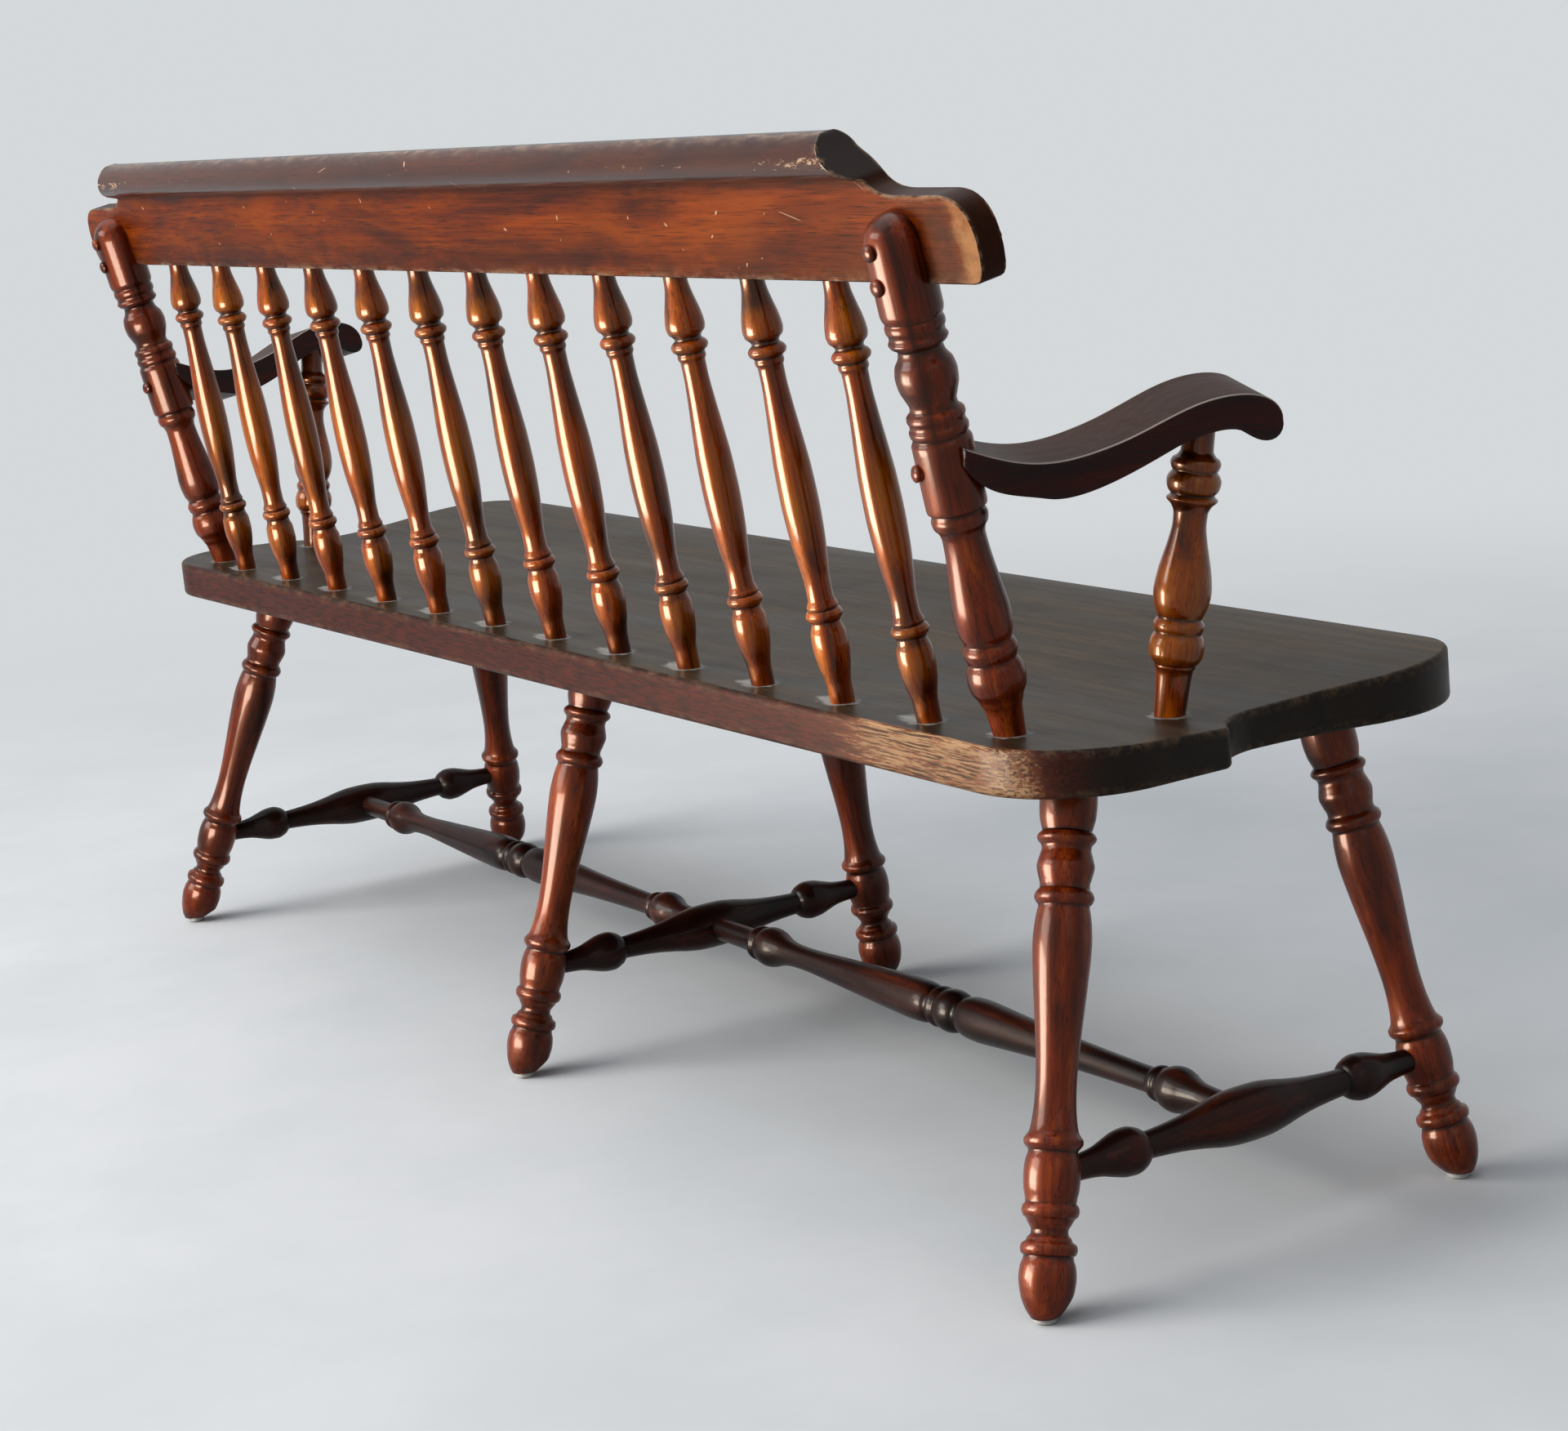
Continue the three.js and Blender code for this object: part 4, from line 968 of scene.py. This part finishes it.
# The end's outline as shares of the crest's height: in from the end, and up
CREST_END = [
    (.13, 0), (.03, 0, 0, .08, 0, .25), (0, .43, .1, .547, .3, .556), (.75, .56), (.98, .565, 1.05, .66),
    (1.21, .88, 1.23, .95), (1.245, 1, 1.3, 1),
]
LOW_ROWS = np.array([0, .02, .06, .14, .3, .5, .7, .86, .94, .98, 1])
HIGH_ROWS = 1 - (1 + np.cos(np.linspace(0.1, math.pi, 22))) / 2
# Where its marks come up and fade out, along the bench's right half and up the board
CHIPS_FROM = mm(250, 450)
CHIPS_THICKEN = mm(640, 735)
EAR_FILM = mm(868, 886)
LOW_FILM_FROM = mm(640, 780)
LOW_FILM_TO = mm(795, 825)
LOW_FILM_UP = mm(2, 26)
FILM_TOP = mm(66, 76)
# Where the near post's painted shadow and glaze lie along the bench, how far the lower edge's painted shade
# reaches up, and the top of both
POST_SHADOW_GLAZE_FROM = mm(796, 836)
POST_SHADOW_GLAZE_TO = mm(868, 884)
LOW_SHADE_UP = mm(6, 54)
PAINTED_SHADE_TOP = mm(52, 70)
ROLL_EDGE = mm(-1, 3)  # about its tuck


def round_roll(z):
    return math.sqrt(max(ROLL ** 2 - (z - ROLL_Z) ** 2, 0))


def crest_back(x, z):
    return CREST_BACK if z < TUCK + MM / 10 else ROLL_Y + round_roll(z)


# The front face's curve from the flat board up to the roll
COVE = traced([
    (CREST_FRONT, ROLL_Z - 1.9 * ROLL), (CREST_FRONT, ROLL_Z - ROLL / 2, ROLL_Y - ROLL, ROLL_Z),
], 16)


def crest_front(x, z):
    return float(np.interp(z, COVE[:, 1], COVE[:, 0])) if z < ROLL_Z else ROLL_Y - round_roll(z)


def crest_chains():
    """The crest's bottom and top outlines, point by point above each other, from end to end."""
    end = traced(CREST_END, 9) * CREST_HEIGHT
    tip = int(np.argmin(end[:, 0] + (end[:, 1] < 0.2 * CREST_HEIGHT)))
    corner, top = end[:tip][::-1], end[tip:]
    top = np.vstack([top, [(x, CREST_HEIGHT) for x in np.linspace(top[-1, 0], CREST_HALF, 16)[1:]]])
    # Close the last columns up at the shoulder, where the outline is a long straight line
    inset = np.unique(np.concatenate([top[:, 0], np.linspace(0.32, 0.72, 6) * CREST_HEIGHT]))
    rise = np.minimum(np.interp(inset, top[:, 0], top[:, 1]), CREST_TOP - MM / 20)
    fall = np.interp(inset, corner[:, 0], corner[:, 1], right=0)

    def both(heights):
        half = [(CREST_HALF - i, z) for i, z in zip(inset, heights)]
        return half[:-1] + [(-x, z) for x, z in reversed(half)]

    return both(fall), both(rise)


def crest_rows(a, b):
    """Heights of the rows: up the board to the roll's underside, then round the roll."""
    bottom, top = a[1], b[1]
    tuck = min(top, TUCK)
    heights = np.concatenate([bottom + LOW_ROWS * (tuck - bottom), tuck + HIGH_ROWS * max(top - TUCK, 0)])
    return (heights - bottom) / (top - bottom)


def crest_ease(x, z):
    return TOP_EASE if z > CREST_TOP - MM / 2 else CREST_EASE


def crest_worn(x, z, y):
    """Chips at the roll's ends, where the sawn end meets its back."""
    end = 0.4 * smooth(abs(x), *CHIPS_FROM) + 0.6 * smooth(abs(x), *CHIPS_THICKEN)
    end *= smooth(y, ROLL_Y + 0.5 * ROLL, ROLL_Y + 0.85 * ROLL)
    end *= smooth(z, TUCK, ROLL_Z)
    return end * (1 - smooth(z, ROLL_Z + 0.1 * ROLL, ROLL_Z + 0.4 * ROLL))


def on_board_back(y, z, top):
    return smooth(y, CREST_FRONT / 2, CREST_BACK) * (1 - smooth(z, *top))


def crest_film(x, z, y):
    """Where a tan film lies: on the near ear's back, and thinly along the lower edge beside it."""
    lower = smooth(-x, *LOW_FILM_FROM) * (1 - smooth(-x, *LOW_FILM_TO))
    lower *= (1 - smooth(z, *LOW_FILM_UP)) * 0.6
    return max(smooth(-x, *EAR_FILM), lower) * on_board_back(y, z, FILM_TOP)


def crest_painted_shade(x, z, y):
    """Where shade is painted: darker towards the lower edge, and the near post's shadow, mixed with dark
    glaze, between the post and the ear.
    """
    low = 0.75 * (1 - smooth(z, *LOW_SHADE_UP))
    beside = smooth(-x, *POST_SHADOW_GLAZE_FROM) * (1 - smooth(-x, *POST_SHADOW_GLAZE_TO))
    return max(low, beside) * on_board_back(y, z, PAINTED_SHADE_TOP)


def crest_roll(x, z, y):
    return smooth(z, *(TUCK + edge for edge in ROLL_EDGE))


crest = slab(
    "rolled_crest", *crest_chains(), crest_rows, low=crest_front, high=crest_back,
    place=lambda x, z, y: on_crest(x, y, z), grain=lambda x, z, y: (y, z, x),
    ease=crest_ease, worn=crest_worn, walls=6,
)
for key, value_at in (("film", crest_film), ("painted_shade_glaze", crest_painted_shade), ("roll", crest_roll)):
    add_attribute(crest, key, lambda point: value_at(*from_crest(point)))
dress(crest, "crest_rail", CREST)

# Arms

ARM_EASE = 1.1 * MM
ARM_POINTS = 72
ARM_ROWS = np.array([0, .04, .12, .3, .5, .7, .88, .96, 1])
# Shares of the arm's reach: forward from the post's axis, and up
ARM_OVER = traced([
    (.006, .088), (.183, .01, .274, -.009, .471, .043), (.602, .078, .695, .141, .825, .145),
    (.932, .148, .992, .113, 1, .052),
], 24) * ARM_REACH
ARM_UNDER = traced([
    (.006, .035), (.076, -.07, .151, -.066, .26, -.094), (.369, -.123, .548, -.041, .656, .006),
    (.708, .029, .832, .062, .879, .026), (.956, -.035, 1.008, -.004, 1, .052),
], 24) * ARM_REACH


def arm_half(u):
    """Half of the arm's width, which grows from the post to the hand."""
    return (ARM_WIDTH + (ARM_HAND_WIDTH - ARM_WIDTH) * u / ARM_REACH) / 2


def arm_top(u, v, w):
    """Whether a point lies on the arm's upper side."""
    middle = (np.interp(u, *ARM_OVER.T) + np.interp(u, *ARM_UNDER.T)) / 2
    return float(v > middle)


for end, side in SIDES:
    hub, forward, up, sideways = arm_frame(side)
    arm = slab(
        f"serpentine_arm_{end}", evenly(ARM_UNDER, ARM_POINTS)[:-1], evenly(ARM_OVER, ARM_POINTS)[:-1],
        lambda a, b: ARM_ROWS, low=lambda u, v: -arm_half(u), high=lambda u, v: arm_half(u),
        place=lambda u, v, w: hub + forward * u + up * v + sideways * w, grain=lambda u, v, w: (v, w, u),
        ease=lambda u, v: ARM_EASE, worn=arm_top, walls=8,
    )
    crown = arm.data.attributes["worn"].data
    edge = arm.data.attributes["edge"].data
    line = arm.data.attributes.new("line", "FLOAT", "POINT")
    line.data.foreach_set("value", [c.value * e.value for c, e in zip(crown, edge)])
    dress(arm, f"arm_{end}", ARM)

# Camera, fitted to the photo

CAMERA_PLACE = Vector((-2.812, 1.587, 0.996))
HEADING, PITCH, CAMERA_ROLL = (math.radians(a) for a in (121.198, -11.205, -5.443))
IMAGE_WIDTH = 1920
FOCAL_PIXELS = 3957
PRINCIPAL_LEFT_PIXELS = 3.7  # of the image's middle
PRINCIPAL_ABOVE_PIXELS = 45.2

level = math.cos(PITCH)
forward = Vector((math.sin(HEADING) * level, math.cos(HEADING) * level, math.sin(PITCH)))
level_right = forward.cross(Vector((0, 0, 1))).normalized()
level_up = level_right.cross(forward)
right = level_right * math.cos(CAMERA_ROLL) + level_up * math.sin(CAMERA_ROLL)

lens = bpy.data.cameras.new("camera")
lens.sensor_width = 36.0
lens.lens = FOCAL_PIXELS / IMAGE_WIDTH * lens.sensor_width
lens.shift_x = PRINCIPAL_LEFT_PIXELS / IMAGE_WIDTH
lens.shift_y = -PRINCIPAL_ABOVE_PIXELS / IMAGE_WIDTH
camera = new_object("camera", lens)
turn = Matrix((right, right.cross(forward), -forward)).transposed().to_4x4()
camera.matrix_world = Matrix.Translation(CAMERA_PLACE) @ turn
bpy.context.scene.camera = camera

# Studio

FLOOR_SIZE = 60.0
FLOOR_FADE = (1.1, 3.4)  # metres from the middle, where the floor goes over into the backdrop
BACKDROP = "d4d8da"
CENTRE = Vector((0, 0, 0.5))
ABOVE_LOW_LAMP = Vector((0, 0.1, 0.6))
# Place, target, size, watts and colour of the lamps. The low one shows in reflections alone.
LAMPS = {
    "key": ((2.6, 6.2, 3.5), CENTRE, (4.8, 2.8), 448, (1, 0.97, 0.93)),
    "low": ((0.02, 1.62, 0.3), ABOVE_LOW_LAMP, (1.15, 0.62), 95, (1, 0.88, 0.72)),
    "overhead": ((0.4, 0.6, 3.6), CENTRE, (3.5, 3.0), 45, (0.93, 0.97, 1)),
    "camera_side_fill": ((-3.4, 0.4, 2.2), CENTRE, (1.5, 1.5), 4, (1, 0.98, 0.96)),
}


def shows_background(n):
    """1 for rays that show the background: the camera's, mirrored ones, and ones through glass."""
    rays = n.add("LightPath").outputs
    return n.most(rays["Is Camera Ray"], n.most(rays["Is Glossy Ray"], rays["Is Transmission Ray"]))


def mix_shaders(n, share, a, b):
    return n.add("MixShader", {0: share, 1: a, 2: b}).outputs[0]


def make_floor():
    """A pale floor that goes over into the plain backdrop with distance, also in reflections."""
    half = FLOOR_SIZE / 2
    mesh = bpy.data.meshes.new("floor")
    corners = [(x * half, y * half, 0) for x, y in ((-1, -1), (1, -1), (1, 1), (-1, 1))]
    mesh.from_pydata(corners, [], [(0, 1, 2, 3)])
    floor = new_object("floor", mesh)

    n = Nodes(bpy.data.materials.new("pale_floor"))
    place = n.add("TexCoord").outputs["Object"]
    mottle = n.noise(place, 3, 3, detail=6, roughness=0.6)
    colour = n.mix(n.ramp(mottle, 0.3, 0.7), "e0e2e4", "d8dbdd")
    n.set(Base_Color=colour, Roughness=0.8, Specular_IOR_Level=0.0)
    distance = n.add("VectorMath", {0: place}, operation="LENGTH").outputs["Value"]
    glow = n.add("Emission", {"Color": BACKDROP, "Strength": 1.0}).outputs[0]
    lit = n.tree.nodes["Principled BSDF"].outputs[0]
    seen = mix_shaders(n, n.ramp(distance, *FLOOR_FADE), lit, glow)
    bounce = n.add("BsdfDiffuse", {"Color": "6e7072"}).outputs[0]
    n.put(n.tree.nodes["Material Output"].inputs[0], mix_shaders(n, shows_background(n), bounce, seen))
    mesh.materials.append(n.owner)
    floor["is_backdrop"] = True


def make_lamp(name, place, target, size, watts, colour):
    light = bpy.data.lights.new(name, "AREA")
    light.shape = "RECTANGLE"
    light.size, light.size_y = size
    light.energy = watts
    light.color = colour
    lamp = new_object(name, light)
    lamp.location = place
    lamp.rotation_euler = (target - lamp.location).to_track_quat("-Z", "Y").to_euler()
    lamp.visible_camera = False
    lamp.visible_diffuse = name != "low"


def make_world():
    """A plain pale surround. What it sheds on the bench is brighter above, and on the photo's left."""
    world = bpy.data.worlds.new("surround")
    bpy.context.scene.world = world
    n = Nodes(world)
    direction = n.add("TexCoord").outputs[0]
    leftward = n.add("VectorMath", {0: direction, 1: -level_right}, operation="DOT_PRODUCT")
    sideways = n.ramp(leftward.outputs["Value"], -0.7, 0.9, 0.04, 0.95, kind="LINEAR")
    height = n.add("SeparateXYZ", {0: direction}).outputs[2]
    above = n.ramp(height, 0.0, 0.25, 0.35, 1.0, kind="LINEAR")
    shed = n.add("Background", {"Color": "eef2f8", "Strength": n.times(sideways, above)}).outputs[0]
    seen = n.add("Background", {"Color": BACKDROP, "Strength": 1.0}).outputs[0]
    n.put(n.tree.nodes["World Output"].inputs[0], mix_shaders(n, shows_background(n), shed, seen))


make_floor()
for name, settings in LAMPS.items():
    make_lamp(name, *settings)
make_world()
bpy.context.scene.view_settings.view_transform = "Standard"

boxes = {"cad": cad_box, "visual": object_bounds()}
{key: [list(corner) for corner in box] for key, box in boxes.items()}
